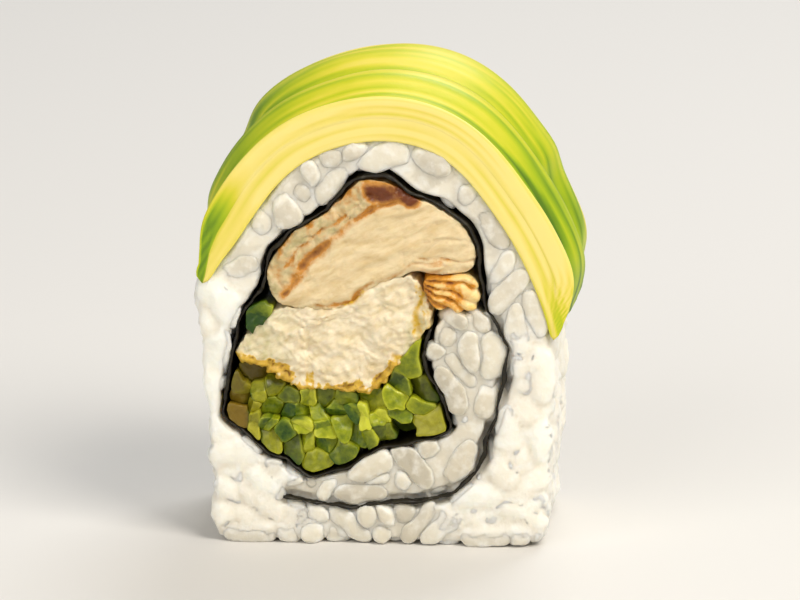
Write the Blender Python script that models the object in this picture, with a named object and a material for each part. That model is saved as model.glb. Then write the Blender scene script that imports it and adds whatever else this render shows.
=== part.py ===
"""One piece of uramaki: a slice cut from an inside-out sushi roll, standing on its pressed flat base.

The roll's axis runs along Y and the knife cuts face -Y and +Y. Every layer runs through from cut to cut:
a spiral of rice with a nori sheet on its inner side, julienned cucumber and chicken in the middle, and
avocado slices laid over the arch. Sections are drawn in millimetres as (x, z), seen from the front cut.
"""

import math

import bmesh
import bpy
from mathutils import Vector, noise
from mathutils.geometry import delaunay_2d_cdt

MM = 0.001

# Driving dimensions, in millimetres.
DEPTH = 20.0  # from cut to cut, along the roll's axis
NORI_THICK = 0.4
GAP = 0.3  # clearance between layers
SEAT = NORI_THICK / 2 + GAP  # from the nori's middle line to whatever lies against it
GRAIN = 3.0  # width of a cooked rice grain
FLAT_X, FLAT_Y = 12.0, 7.5  # half sizes of the flat middle of the base
RICE_BUMP = 0.65  # height of the grains' bumps on the outside, of which the crowns stand 0.25 proud
CUT_BUMP = 0.5  # height of the bumps on the rice's cut faces
EDGE_BUMP = 0.2  # the same along the edges of the cut faces
SIDE_BUMP = 0.3  # depth of the hollows along a filling's sides
EDGE_DROP = 0.25  # how far a filling's cut face falls back at its border
OUTLINE_STEP = 1.3  # distance between points along the rice's and the nori's outlines
AVOCADO_EDGE = 1.1  # a slice of avocado at its thinned long edges

# The pressed roll's outline without avocado: a flat base, nearly upright sides and an arched top.
SIDE_LEFT = [(-16.5, 1.2), (-16.8, 10.0), (-17.5, 18.0), (-17.9, 24.8)]
ARCH = [
    (-17.1, 26.9), (-13.8, 31.3), (-10.6, 36.3), (-6.6, 39.8), (0.2, 41.8), (6.8, 40.1), (12.2, 33.7),
    (15.6, 27.4), (17.7, 21.2),
]
SIDE_RIGHT = [(17.8, 17.0), (17.2, 6.0), (17.0, 1.2)]
BASE_CORNER = 1.2  # how far the rounded corners reach along the base

# The nori sheet's middle line, from its inner end under the chicken to its outer end near the base.
NORI_LINE = [
    (5.0, 22.4), (4.8, 19.4), (7.2, 13.4), (6.4, 11.6), (1.6, 10.4), (-5.4, 7.7), (-8.0, 8.0),
    (-14.6, 12.3), (-15.3, 14.4), (-14.1, 21.6), (-10.9, 29.0), (-8.8, 31.9), (-2.2, 36.9), (0.6, 38.0),
    (3.0, 36.5), (8.4, 34.0), (9.8, 31.4), (10.9, 24.8), (12.6, 19.8), (11.4, 11.4), (9.8, 7.6),
    (6.0, 5.0), (-3.0, 3.8), (-9.2, 4.6),
]
# The rice between the two turns of nori ends here, under the browned side piece.
RICE_TIP = [(11.2, 22.6), (10.2, 24.1), (7.0, 24.1), (5.8, 22.9)]
RICE_TIP_BESIDE = (11.9, 21.6)  # the place on the outer turn where that tip begins

# Borders inside the filling, from left to right.
CRUMB_LINE = [
    (-14.0, 18.4), (-12.2, 18.8), (-8.6, 15.9), (-3.4, 16.1), (-0.9, 15.6), (1.1, 16.2), (2.4, 19.4),
    (4.4, 21.9),
]
FOLD_LINE = [(-11.1, 25.6), (-10.3, 24.6), (-5.2, 24.3), (0.2, 27.0), (2.6, 28.2)]
BROWN_LINE = [(4.2, 28.3), (6.2, 27.9), (9.6, 28.4)]
CHICKEN_RIGHT = [(4.7, 22.9), (5.2, 24.0), (4.7, 25.6), (3.8, 27.0)]
SIDE_PIECE = [
    (4.2, 27.7), (6.1, 27.5), (9.4, 27.9), (10.1, 25.4), (9.4, 24.8), (6.8, 24.6), (6.1, 24.1), (5.6, 24.7),
    (5.0, 26.1),
]
STRIP = [(-13.2, 22.3), (-12.8, 23.6), (-12.1, 24.9), (-11.3, 24.6), (-11.0, 23.1), (-12.0, 22.0)]
BESIDE_STRIP = [(-10.7, 24.0), (-10.7, 22.9), (-11.7, 21.7), (-13.0, 21.5)]

# The avocado slices from front to back: where each starts and ends along the axis, where its tips lie along
# the arch as shares of the arch's length, and its thickness. Each one's back edge lies over the next slice's
# front edge.
AVOCADO = [
    ("avocado_slice_1", (-10.0, -8.5), (0.02, 0.99), 1.9),
    ("avocado_slice_2", (-10.0, 0.6), (0.0, 0.97), 2.0),
    ("avocado_slice_3", (-2.2, 10.0), (0.03, 1.0), 2.4),
    ("avocado_slice_4", (7.3, 10.0), (0.05, 0.96), 2.3),
]
CLIMB_LENGTH = 7.0  # how long a slice takes to rise onto the next one
TIP_LENGTH = 0.1  # share of the arch over which a slice thins out to its tip

COLOURS = {
    "rice": ((0.86, 0.84, 0.78), 0.45),
    "nori": ((0.02, 0.025, 0.015), 0.4),
    "cucumber": ((0.24, 0.36, 0.04), 0.35),
    "chicken": ((0.83, 0.66, 0.42), 0.5),
    "browned": ((0.62, 0.33, 0.08), 0.45),
    "avocado": ((0.80, 0.78, 0.20), 0.4),
}


def clear_scene():
    for obj in list(bpy.data.objects):
        bpy.data.objects.remove(obj)


def material(name):
    colour, roughness = COLOURS[name]
    mat = bpy.data.materials.new(name)
    mat.use_nodes = True
    shader = mat.node_tree.nodes["Principled BSDF"]
    shader.inputs["Base Color"].default_value = (*colour, 1.0)
    shader.inputs["Roughness"].default_value = roughness
    shader.inputs["Metallic"].default_value = 0.0
    return mat


def spline(points, closed=False, per_span=12):
    """A dense Catmull-Rom curve through the points."""
    count = len(points)
    spans = count if closed else count - 1
    dense = []
    for i in range(spans):
        if closed:
            p0, p1, p2, p3 = (Vector(points[(i + k - 1) % count]) for k in range(4))
        else:
            p0, p1, p2, p3 = (Vector(points[min(max(i + k - 1, 0), count - 1)]) for k in range(4))
        for k in range(per_span):
            t = k / per_span
            bend = p0 * (-t + 2 * t**2 - t**3) + p1 * (2 - 5 * t**2 + 3 * t**3)
            bend += p2 * (t + 4 * t**2 - 3 * t**3) + p3 * (t**3 - t**2)
            dense.append(bend / 2)
    if not closed:
        dense.append(Vector(points[-1]))
    return dense


def spaced(line, step, closed=False):
    """The same line with points an equal distance apart, close to step."""
    path = line + [line[0]] if closed else line
    along = [0.0]
    for a, b in zip(path, path[1:]):
        along.append(along[-1] + (b - a).length)
    count = max(3, round(along[-1] / step))
    found, i = [], 0
    for k in range(count if closed else count + 1):
        want = along[-1] * k / count
        while i < len(path) - 2 and along[i + 1] < want:
            i += 1
        share = (want - along[i]) / max(along[i + 1] - along[i], 1e-9)
        found.append(path[i].lerp(path[i + 1], min(share, 1.0)))
    return found


def normals(line, closed=False):
    """Unit normals on the left of the way along the line."""
    count = len(line)
    found = []
    for i in range(count):
        before = line[i - 1] if closed or i else line[0]
        after = line[(i + 1) % count] if closed or i < count - 1 else line[-1]
        way = (after - before).normalized()
        found.append(Vector((-way.y, way.x)))
    return found


def beside(line, distance):
    """The line moved sideways, to its left for a positive distance."""
    return [p + n * distance for p, n in zip(line, normals(line))]


def stretch(line, start, end):
    """The part of the line between the places nearest to start and end, in the line's order."""
    first, last = (min(range(len(line)), key=lambda i: (line[i] - Vector(p)).length) for p in (start, end))
    return line[first : last + 1]


def inside(point, loop):
    x, z = point
    found = False
    for a, b in zip(loop, loop[1:] + loop[:1]):
        if (a.y > z) != (b.y > z) and x < (b.x - a.x) * (z - a.y) / (b.y - a.y) + a.x:
            found = not found
    return found


def distance_to(point, loop):
    best = 1e9
    for a, b in zip(loop, loop[1:] + loop[:1]):
        ab = b - a
        share = max(0.0, min(1.0, (point - a).dot(ab) / max(ab.length_squared, 1e-12)))
        best = min(best, (a + ab * share - point).length)
    return best


def cobble(x, y, z, size):
    """From 0 in the creases to 1 on the crowns of rounded lumps about as large as size."""
    nearest = noise.voronoi(Vector((x, y, z)) / size)[0][0]
    return max(0.0, 1.0 - nearest * nearest * 1.6)


def fill_points(outline, hole, spacing):
    """Points spread over the section, on a staggered grid that keeps clear of its borders."""
    loops = [outline] + ([hole] if hole else [])
    low_x, high_x = min(p.x for p in outline), max(p.x for p in outline)
    low_z, high_z = min(p.y for p in outline), max(p.y for p in outline)
    found, row, z = [], 0, low_z + spacing / 2
    while z < high_z:
        x = low_x + spacing * (0.5 if row % 2 else 1.0)
        while x < high_x:
            p = Vector((x, z))
            within = inside(p, outline) and not (hole and inside(p, hole))
            if within and min(distance_to(p, loop) for loop in loops) > spacing * 0.55:
                found.append(p)
            x += spacing
        row += 1
        z += spacing * 0.87
    return found


def add_object(name, points, faces, finish):
    """A closed mesh object from points in millimetres."""
    mesh = bpy.data.meshes.new(name)
    work = bmesh.new()
    verts = [work.verts.new(Vector(p) * MM) for p in points]
    for face in faces:
        work.faces.new([verts[i] for i in face])
    bmesh.ops.recalc_face_normals(work, faces=work.faces)
    if work.calc_volume(signed=True) < 0:
        bmesh.ops.reverse_faces(work, faces=work.faces)
    work.to_mesh(mesh)
    work.free()
    obj = bpy.data.objects.new(name, mesh)
    bpy.context.scene.collection.objects.link(obj)
    mesh.materials.append(bpy.data.materials.get(finish) or material(finish))
    mesh.shade_smooth()
    mesh.set_sharp_from_angle(angle=math.radians(50))
    return obj


def through_piece(name, outline, finish, hole=None, rows=1, spacing=2.2, shape=None):
    """A piece that runs from cut to cut: two faces filled from the outline, joined by its walls.

    shape moves a point of the piece: it gets the point's place, its sideways normal, and which part of
    the piece it is on, a cut, a wall or the hole."""
    loops = [outline] + ([hole] if hole else [])
    rings = [p for loop in loops for p in loop]
    flat = rings + fill_points(outline, hole, spacing)
    edges, start = [], 0
    for loop in loops:
        edges += [(start + i, start + (i + 1) % len(loop)) for i in range(len(loop))]
        start += len(loop)
    cdt_points, _, cdt_faces, origins, _, _ = delaunay_2d_cdt(flat, edges, [], 0, 1e-6)
    where = [o[0] for o in origins]
    tiles = []
    for face in cdt_faces:
        middle = sum((cdt_points[i] for i in face), Vector((0, 0))) / 3
        if inside(middle, outline) and not (hole and inside(middle, hole)):
            tiles.append([where[i] for i in face])
    sideways = []
    for k, loop in enumerate(loops):
        turn = 1 if sum(a.cross(b) for a, b in zip(loop, loop[1:] + loop[:1])) < 0 else -1
        sideways += [n * turn * (1 if k == 0 else -1) for n in normals(loop, closed=True)]
    sideways += [Vector((0, 0))] * (len(flat) - len(rings))

    def placed(i, y):
        p, n = flat[i], sideways[i]
        part = "wall" if i < len(outline) else "hole" if i < len(rings) else "cut"
        place = (p.x, y, p.y)
        return shape(place, n, part) if shape else place

    front, back = -DEPTH / 2, DEPTH / 2
    points = [placed(i, front) for i in range(len(flat))] + [placed(i, back) for i in range(len(flat))]
    faces = [list(t) for t in tiles] + [[i + len(flat) for i in reversed(t)] for t in tiles]
    start = 0
    for k, loop in enumerate(loops):
        count = len(loop)
        wall_rows = rows if k == 0 else 1
        last = [start + i for i in range(count)]
        for row in range(1, wall_rows + 1):
            if row == wall_rows:
                ring = [len(flat) + start + i for i in range(count)]
            else:
                ring = [len(points) + i for i in range(count)]
                y = front + (back - front) * row / wall_rows
                points += [placed(start + i, y) for i in range(count)]
            faces += [[last[i], last[(i + 1) % count], ring[(i + 1) % count], ring[i]] for i in range(count)]
            last = ring
        start += count
    return add_object(name, points, faces, finish)


def bulge(y, amount):
    """A place on a cut moved outwards, away from the middle of the piece."""
    return y + math.copysign(amount, y) if abs(y) > DEPTH / 2 - 0.01 else y


def shape_rice(place, normal, part):
    """Grains show as lumps on the sides and cuts. The base stays flat, and the arch smooth under the avocado."""
    x, y, z = place
    lump = cobble(x, y, z, GRAIN)
    if part == "cut":
        return x, bulge(y, CUT_BUMP * (lump - 0.5)), z
    if part == "hole":
        return x, bulge(y, EDGE_BUMP * (lump - 0.5)), z
    under_avocado = z > ARCH[0][1] or (x > 0 and z > ARCH[-1][1])
    out = -0.25 * (1 - lump) if under_avocado else RICE_BUMP * (lump - 0.6)
    if z < 0.01 and abs(x) < FLAT_X and abs(y) < FLAT_Y:
        out = 0.0
    x, z = x + normal.x * out, max(0.0, z + normal.y * out)
    return x, bulge(y, EDGE_BUMP * (lump - 0.5)), z


def lumps(size, height):
    """A shape function: the cuts carry lumps of that size and height, and fall back at their borders."""

    def shape(place, normal, part):
        x, y, z = place
        lump = cobble(x, y, z, size)
        if part == "cut":
            return x, bulge(y, height * lump), z
        inwards = SIDE_BUMP * (1 - lump)
        return x - normal.x * inwards, bulge(y, -EDGE_DROP), z - normal.y * inwards

    return shape


def rolled_rice(nori):
    """The whole spiral of rice as one solid, with a hole for the filling and the nori's slot."""
    corner_left = [(SIDE_LEFT[0][0] + BASE_CORNER * 0.25, 0.3), (SIDE_LEFT[0][0] + BASE_CORNER, 0.0)]
    corner_right = [(SIDE_RIGHT[-1][0] - BASE_CORNER, 0.0), (SIDE_RIGHT[-1][0] - BASE_CORNER * 0.25, 0.3)]
    sides = spline(corner_left[::-1] + SIDE_LEFT + ARCH + SIDE_RIGHT + corner_right[::-1])
    outline = spaced(sides, OUTLINE_STEP)
    outline += spaced([outline[-1], outline[0]], OUTLINE_STEP)[1:-1]
    outer_turn = beside(stretch(nori, RICE_TIP_BESIDE, NORI_LINE[-1]), -SEAT)
    hole = beside(nori, SEAT) + outer_turn[::-1] + spaced(spline(RICE_TIP), 1.2)
    return through_piece("rice", outline, "rice", hole=hole, rows=13, spacing=1.7, shape=shape_rice)


def nori_sheet(nori):
    half = NORI_THICK / 2
    outline = beside(nori, half) + beside(nori, -half)[::-1]
    return through_piece("nori", outline, "nori", rows=3, spacing=5.0)


def filling(nori):
    """Cucumber at the bottom, two folds of chicken above it and a browned piece at the right."""
    wall = beside(nori, -SEAT)

    def border(points, offset):
        return beside(spaced(spline(points), 1.2), offset * GAP)

    cucumber = stretch(wall, (4.5, 20.8), (-14.0, 17.4)) + border(CRUMB_LINE, -0.5)
    through_piece("cucumber", cucumber, "cucumber", rows=2, spacing=1.5, shape=lumps(2.2, 0.5))
    through_piece("cucumber_strip", spaced(spline(STRIP, closed=True), 0.8, closed=True), "cucumber", rows=2)

    left = stretch(wall, (-13.9, 19.2), (-13.5, 21.0))
    lower = left + spaced(spline(BESIDE_STRIP[::-1]), 1.2) + border(FOLD_LINE[1:], -0.5)
    lower += spaced(spline(CHICKEN_RIGHT[::-1]), 1.2) + border(CRUMB_LINE, 0.5)[::-1]
    through_piece("chicken_lower", lower, "chicken", rows=2, spacing=1.8, shape=lumps(3.0, 0.6))

    right = border(FOLD_LINE + BROWN_LINE, 0.5)
    upper = stretch(wall, (-10.8, 27.0), (9.6, 29.6)) + right[::-1]
    through_piece("chicken_upper", upper, "chicken", rows=2, spacing=1.8, shape=lumps(5.0, 0.8))
    side = spaced(spline(SIDE_PIECE, closed=True), 1.0, closed=True)
    through_piece("chicken_side", side, "browned", rows=2, spacing=1.2, shape=lumps(2.0, 0.5))


def ease(t):
    t = max(0.0, min(1.0, t))
    return t * t * (3 - 2 * t)


def body_at(share, tips):
    """How thick a slice is at this share of the arch: 1 along its middle, thinning to nothing at its tips."""
    from_tip = min(share - tips[0], tips[1] - share) / TIP_LENGTH
    return math.sin(min(from_tip, 1.0) * math.pi / 2) * 0.94 + 0.06 if from_tip > -1e-6 else 0.0


def avocado_slice(number, steps=32):
    """A slice of avocado bent over the arch, thin at its tips and at its own edges.

    Its front part lies on the rice, and its back part on the front edge of the next slice."""
    name, (y_front, y_back), tips, thickest = AVOCADO[number]
    across = max(2, round((y_back - y_front) / 1.8))
    arch = spaced(spline(ARCH), 0.5)
    out = normals(arch)

    def place(share, y, height):
        at = share * (len(arch) - 1)
        i = min(int(at), len(arch) - 2)
        p = arch[i].lerp(arch[i + 1], at - i) + out[i].lerp(out[i + 1], at - i) * height
        return p.x, y, p.y

    def lift(share, y):
        if number + 1 == len(AVOCADO):
            return GAP
        _, (next_front, _), next_tips, next_thick = AVOCADO[number + 1]
        climbed = 1.0 if next_front <= -DEPTH / 2 else ease((y - next_front) / CLIMB_LENGTH + 0.85)
        return GAP + (next_thick * body_at(share, next_tips) + GAP) * climbed

    sheets = ([], [])
    for i in range(steps + 1):
        share = tips[0] + (tips[1] - tips[0]) * i / steps
        for k in range(across + 1):
            v = k / across
            y = y_front + (y_back - y_front) * v
            free_edges = [v] * (y_front > -DEPTH / 2) + [1 - v] * (y_back < DEPTH / 2)
            to_edge = min([e * (y_back - y_front) / 2.0 for e in free_edges] + [1.0])
            thick = AVOCADO_EDGE + (thickest - AVOCADO_EDGE) * ease(to_edge)
            low = lift(share, y)
            sheets[0].append(place(share, y, low + thick * body_at(share, tips)))
            sheets[1].append(place(share, y, low))
    points = sheets[0] + sheets[1]
    wide, under = across + 1, len(sheets[0])
    faces = []
    for i in range(steps):
        for k in range(across):
            a = i * wide + k
            quad = [a, a + 1, a + wide + 1, a + wide]
            faces += [quad, [q + under for q in reversed(quad)]]
    rim = list(range(wide)) + [i * wide + across for i in range(1, steps + 1)]
    rim += [steps * wide + k for k in range(across - 1, -1, -1)] + [i * wide for i in range(steps - 1, 0, -1)]
    faces += [[a, b, b + under, a + under] for a, b in zip(rim, rim[1:] + rim[:1])]
    return add_object(name, points, faces, "avocado")


def stand_on_origin():
    """Moves every piece so that the origin is the middle of the base."""
    corners = [v.co for obj in bpy.context.scene.objects for v in obj.data.vertices]
    low = Vector([min(c[i] for c in corners) for i in range(3)])
    high = Vector([max(c[i] for c in corners) for i in range(3)])
    shift = Vector((-(low.x + high.x) / 2, -(low.y + high.y) / 2, -low.z))
    for obj in bpy.context.scene.objects:
        for vertex in obj.data.vertices:
            vertex.co += shift


def main():
    clear_scene()
    nori = spaced(spline(NORI_LINE), OUTLINE_STEP)
    rolled_rice(nori)
    nori_sheet(nori)
    filling(nori)
    for number in range(len(AVOCADO)):
        avocado_slice(number)
    stand_on_origin()


main()
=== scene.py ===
import math

import bmesh
import bpy
import numpy as np
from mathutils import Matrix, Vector, noise
from mathutils.bvhtree import BVHTree
from mathutils.geometry import delaunay_2d_cdt


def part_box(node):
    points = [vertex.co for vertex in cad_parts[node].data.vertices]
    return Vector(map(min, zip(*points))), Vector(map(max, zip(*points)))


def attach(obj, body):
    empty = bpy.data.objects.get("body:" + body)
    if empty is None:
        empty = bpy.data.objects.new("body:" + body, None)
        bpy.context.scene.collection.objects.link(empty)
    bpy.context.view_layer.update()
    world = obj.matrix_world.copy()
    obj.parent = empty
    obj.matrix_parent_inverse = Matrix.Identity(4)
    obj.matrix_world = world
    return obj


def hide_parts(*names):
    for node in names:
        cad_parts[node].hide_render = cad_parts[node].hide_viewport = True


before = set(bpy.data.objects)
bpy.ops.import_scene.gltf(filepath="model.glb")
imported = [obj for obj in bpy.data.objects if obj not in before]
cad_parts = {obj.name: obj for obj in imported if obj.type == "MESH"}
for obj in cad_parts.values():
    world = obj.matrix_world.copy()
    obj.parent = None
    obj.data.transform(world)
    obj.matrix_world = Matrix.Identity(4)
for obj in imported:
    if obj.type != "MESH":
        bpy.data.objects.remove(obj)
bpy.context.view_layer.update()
mm = 0.001
noise.seed_set(3)  # noise vectors would start from the clock otherwise
print("frame loaded")


# Shapes are worked out in millimetres, as numpy arrays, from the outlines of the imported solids.

def hexColour(code):  # sRGB hex to linear RGBA
    parts = [int(code[i:i + 2], 16) / 255 for i in (1, 3, 5)]
    return [c / 12.92 if c <= 0.04045 else ((c + 0.055) / 1.055) ** 2.4 for c in parts] + [1.0]


def addNode(tree, kind, values=None, links=None, stops=None, **settings):
    node = tree.nodes.new(kind)
    for name, value in settings.items():
        setattr(node, name, value)
    for socket, value in (values or {}).items():
        node.inputs[socket].default_value = value
    for socket, source in (links or {}).items():
        tree.links.new(source, node.inputs[socket])
    for i, (place, code) in enumerate(stops or []):
        ramp = node.color_ramp.elements
        stop = ramp[i] if i < len(ramp) else ramp.new(place)
        stop.position = place
        stop.color = hexColour(code)
    return node


def newMaterial(name, marks=(), **values):  # its sockets set by name, its place and the mesh's marks read
    material = bpy.data.materials.new(name)
    material.use_nodes = True
    tree = material.node_tree
    for socket, value in values.items():
        tree.nodes["Principled BSDF"].inputs[socket.replace("_", " ")].default_value = value
    place = addNode(tree, "ShaderNodeTexCoord").outputs["Object"]
    read = {mark: addNode(tree, "ShaderNodeAttribute", attribute_name=mark).outputs["Fac"] for mark in marks}
    return material, tree, place, read


def finishMaterial(tree, colour, height, strength, distance):  # its colour, and relief too fine for the mesh
    shader = tree.nodes["Principled BSDF"]
    bump = addNode(tree, "ShaderNodeBump", values={"Strength": strength, "Distance": distance},
                   links={"Height": height})
    tree.links.new(colour, shader.inputs["Base Color"])
    tree.links.new(bump.outputs["Normal"], shader.inputs["Normal"])


def makePiece(name, points, faces, material, marks, standsFor):
    mesh = bpy.data.meshes.new(name)
    mesh.from_pydata((np.asarray(points) * mm).tolist(), [], [list(map(int, f)) for f in faces])
    mesh.validate()
    mesh.shade_smooth()
    addMarks(mesh, marks)
    mesh.materials.append(material)
    piece = bpy.data.objects.new(name, mesh)
    bpy.context.scene.collection.objects.link(piece)
    enterPiece(piece, standsFor)


def addMarks(mesh, marks):  # values at each point, which the material reads
    for mark, values in marks.items():
        attribute = mesh.attributes.new(mark, "FLOAT", "POINT")
        attribute.data.foreach_set("value", np.asarray(values, np.float32))


def enterPiece(piece, standsFor):
    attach(piece, "root")
    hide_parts(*standsFor)


def cutLoops(node):  # closed outlines (x, z) of the front cut, largest first
    work = bmesh.new()
    work.from_mesh(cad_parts[node].data)
    bmesh.ops.remove_doubles(work, verts=work.verts, dist=1e-6)
    cap = {f for f in work.faces if f.normal.y < -0.5}
    beside = {}
    for edge in work.edges:
        if len(edge.link_faces) == 2 and (edge.link_faces[0] in cap) != (edge.link_faces[1] in cap):
            a, b = edge.verts
            beside.setdefault(a, []).append(b)
            beside.setdefault(b, []).append(a)
    loops, left = [], set(beside)
    while left:
        start = min(left, key=lambda v: v.index)
        before, here, loop = None, start, []
        while True:
            loop.append((here.co.x / mm, here.co.z / mm))
            left.discard(here)
            onward = [v for v in beside[here] if v is not before]
            before, here = here, onward[0]
            if here is start:
                break
        loop = np.array(loop)
        turn = np.sum(loop[:, 0] * np.roll(loop[:, 1], -1) - loop[:, 1] * np.roll(loop[:, 0], -1))
        loops.append(loop if turn > 0 else loop[::-1])  # anticlockwise
    work.free()
    return sorted(loops, key=lambda l: -np.ptp(l[:, 0]) * np.ptp(l[:, 1]))


def smoothLine(points, step, closed=True, blur=1):  # evenly spaced points on a smooth curve through them
    p = np.asarray(points, float)
    for _ in range(blur):
        near = (np.roll(p, 1, 0) + np.roll(p, -1, 0)) / 2
        if not closed:
            near[[0, -1]] = p[[0, -1]]
        p = p * 0.5 + near * 0.5
    ring = np.vstack([p[-1], p, p[0], p[1]] if closed else [p[0] * 2 - p[1], p, p[-1] * 2 - p[-2]])
    dense = []
    for i in range(1, len(ring) - 2):
        p0, p1, p2, p3 = ring[i - 1:i + 3]
        for t in np.arange(8) / 8:
            dense.append((p0 * (-t + 2 * t**2 - t**3) + p1 * (2 - 5 * t**2 + 3 * t**3)
                          + p2 * (t + 4 * t**2 - 3 * t**3) + p3 * (t**3 - t**2)) / 2)
    dense.append(ring[-2])
    dense = np.array(dense)
    along = np.concatenate([[0], np.cumsum(np.linalg.norm(np.diff(dense, axis=0), axis=1))])
    count = max(4, int(round(along[-1] / step)))
    want = np.linspace(0, along[-1], count + 1)
    even = np.stack([np.interp(want, along, dense[:, k]) for k in range(2)], axis=1)
    return even[:-1] if closed else even


def sideways(line, closed=True):  # unit normals on the right, which is outward on an anticlockwise loop
    way = np.roll(line, -1, 0) - np.roll(line, 1, 0) if closed else np.gradient(line, axis=0)
    way /= np.linalg.norm(way, axis=1, keepdims=True)
    return np.stack([way[:, 1], -way[:, 0]], axis=1)


def pathDistance(points, path):  # distance in the section to an open path
    nearest = np.full(len(points), 1e9)
    for (ax, az), (bx, bz) in zip(path, path[1:]):
        dx, dz = bx - ax, bz - az
        t = ((points[:, 0] - ax) * dx + (points[:, 1] - az) * dz) / max(dx * dx + dz * dz, 1e-12)
        t = np.clip(t, 0, 1)
        nearest = np.minimum(nearest, np.hypot(points[:, 0] - ax - t * dx, points[:, 1] - az - t * dz))
    return nearest


def borderDistance(points, loop):  # distance in the section to a closed outline, negative inside it
    inside = np.zeros(len(points), bool)
    for (ax, az), (bx, bz) in zip(loop, np.roll(loop, -1, 0)):
        if az != bz:
            crosses = (az > points[:, 1]) != (bz > points[:, 1])
            inside ^= crosses & (points[:, 0] < (bx - ax) * (points[:, 1] - az) / (bz - az) + ax)
    return pathDistance(points, np.vstack([loop, loop[:1]])) * np.where(inside, -1, 1)


class SectionGrid:  # values over the section, read between its points by the x and z of any place
    def __init__(self, low, high, pitch=0.2):
        self.low, self.pitch = np.array(low, float), pitch
        self.shape = [int((high[k] - low[k]) / pitch) + 1 for k in range(2)]
        gx, gz = np.meshgrid(*(low[k] + np.arange(self.shape[k]) * pitch for k in range(2)), indexing="ij")
        self.spots = np.stack([gx.ravel(), gz.ravel()], axis=1)
        self.layers = []

    def add(self, values):
        self.layers.append(np.asarray(values).reshape(self.shape))

    def read(self, places):
        gx = np.clip((places[..., 0] - self.low[0]) / self.pitch, 0, self.shape[0] - 1.001)
        gz = np.clip((places[..., -1] - self.low[1]) / self.pitch, 0, self.shape[1] - 1.001)
        i, j = gx.astype(int), gz.astype(int)
        fx, fz = gx - i, gz - j
        return [g[i, j] * (1 - fx) * (1 - fz) + g[i + 1, j] * fx * (1 - fz)
                + g[i, j + 1] * (1 - fx) * fz + g[i + 1, j + 1] * fx * fz for g in self.layers]


def borderField(loop, low, high):  # border distance and the two parts of its slope
    grid = SectionGrid(low, high)
    grid.add(borderDistance(grid.spots, loop))
    for slope in np.gradient(grid.layers[0], grid.pitch):
        grid.add(slope)
    return grid


def smoothStep(t):
    t = np.clip(t, 0, 1)
    return t * t * (3 - 2 * t)


def roughness(points, scale, depth=3, seed=0.0):  # fractal noise from about -1 to 1 at each point
    spots = (np.asarray(points) / scale + np.array([seed, seed * 1.7, -seed])).tolist()
    return np.array([noise.fractal(p, 0.5, 2.0, depth) for p in spots])


def noriLine():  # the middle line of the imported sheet's cut edge, from its outer end inwards
    loop = cutLoops("nori")[0]
    edge = np.linalg.norm(np.roll(loop, -1, 0) - loop, axis=1)
    ends = sorted(np.argsort(edge)[:2])
    one = loop[ends[0] + 1:ends[1] + 1]
    other = np.vstack([loop[ends[1] + 1:], loop[:ends[0] + 1]])[::-1]
    count = min(len(one), len(other))
    return (one[:count] + other[:count]) / 2


riceLoops = cutLoops("rice")
halfDepth = (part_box("nori")[1].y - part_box("nori")[0].y) / 2 / mm
midDepth = (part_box("nori")[1].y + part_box("nori")[0].y) / 2 / mm
sectionLow, sectionHigh = riceLoops[0].min(0) - 2.5, riceLoops[0].max(0) + 2.5
outerField = borderField(smoothLine(riceLoops[0], 0.5, blur=2), sectionLow, sectionHigh)
holeField = borderField(smoothLine(riceLoops[1], 0.4, blur=0), sectionLow, sectionHigh)
noriPath = noriLine()
halfWay = len(noriPath) // 2
closes = halfWay + np.argmin(np.linalg.norm(noriPath[halfWay:] - noriPath[0], axis=1))
outerTurn = smoothLine(noriPath[:closes + 1], 0.5, blur=0)
wrapField = borderField(outerTurn, sectionLow, sectionHigh)
noriField = SectionGrid(sectionLow, sectionHigh)
noriField.add(pathDistance(noriField.spots, noriPath))

# Pressed by hand, no layer inside the roll keeps an even line: all of them wander together.
wanderGrid = SectionGrid(sectionLow, sectionHigh, 0.4)
wanderSpots = np.insert(wanderGrid.spots, 1, 0.0, axis=1)
for shift in (21.0, 57.0):
    broadly, finely = roughness(wanderSpots, 6.0, 2, shift), roughness(wanderSpots, 2.2, 2, shift + 9)
    wanderGrid.add(0.6 * broadly + 0.22 * finely)


def wandered(points):
    points = np.array(points, float)
    inside = smoothStep(-outerField.read(points)[0] / 3.5)
    dx, dz = wanderGrid.read(points)
    points[..., 0] += dx * inside
    points[..., 2] += dz * inside
    return points


def unwandered(points):
    return 2 * np.asarray(points) - wandered(points)


# Cooked rice: grains pressed together until they stick, bound by a little soft starch.

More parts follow.
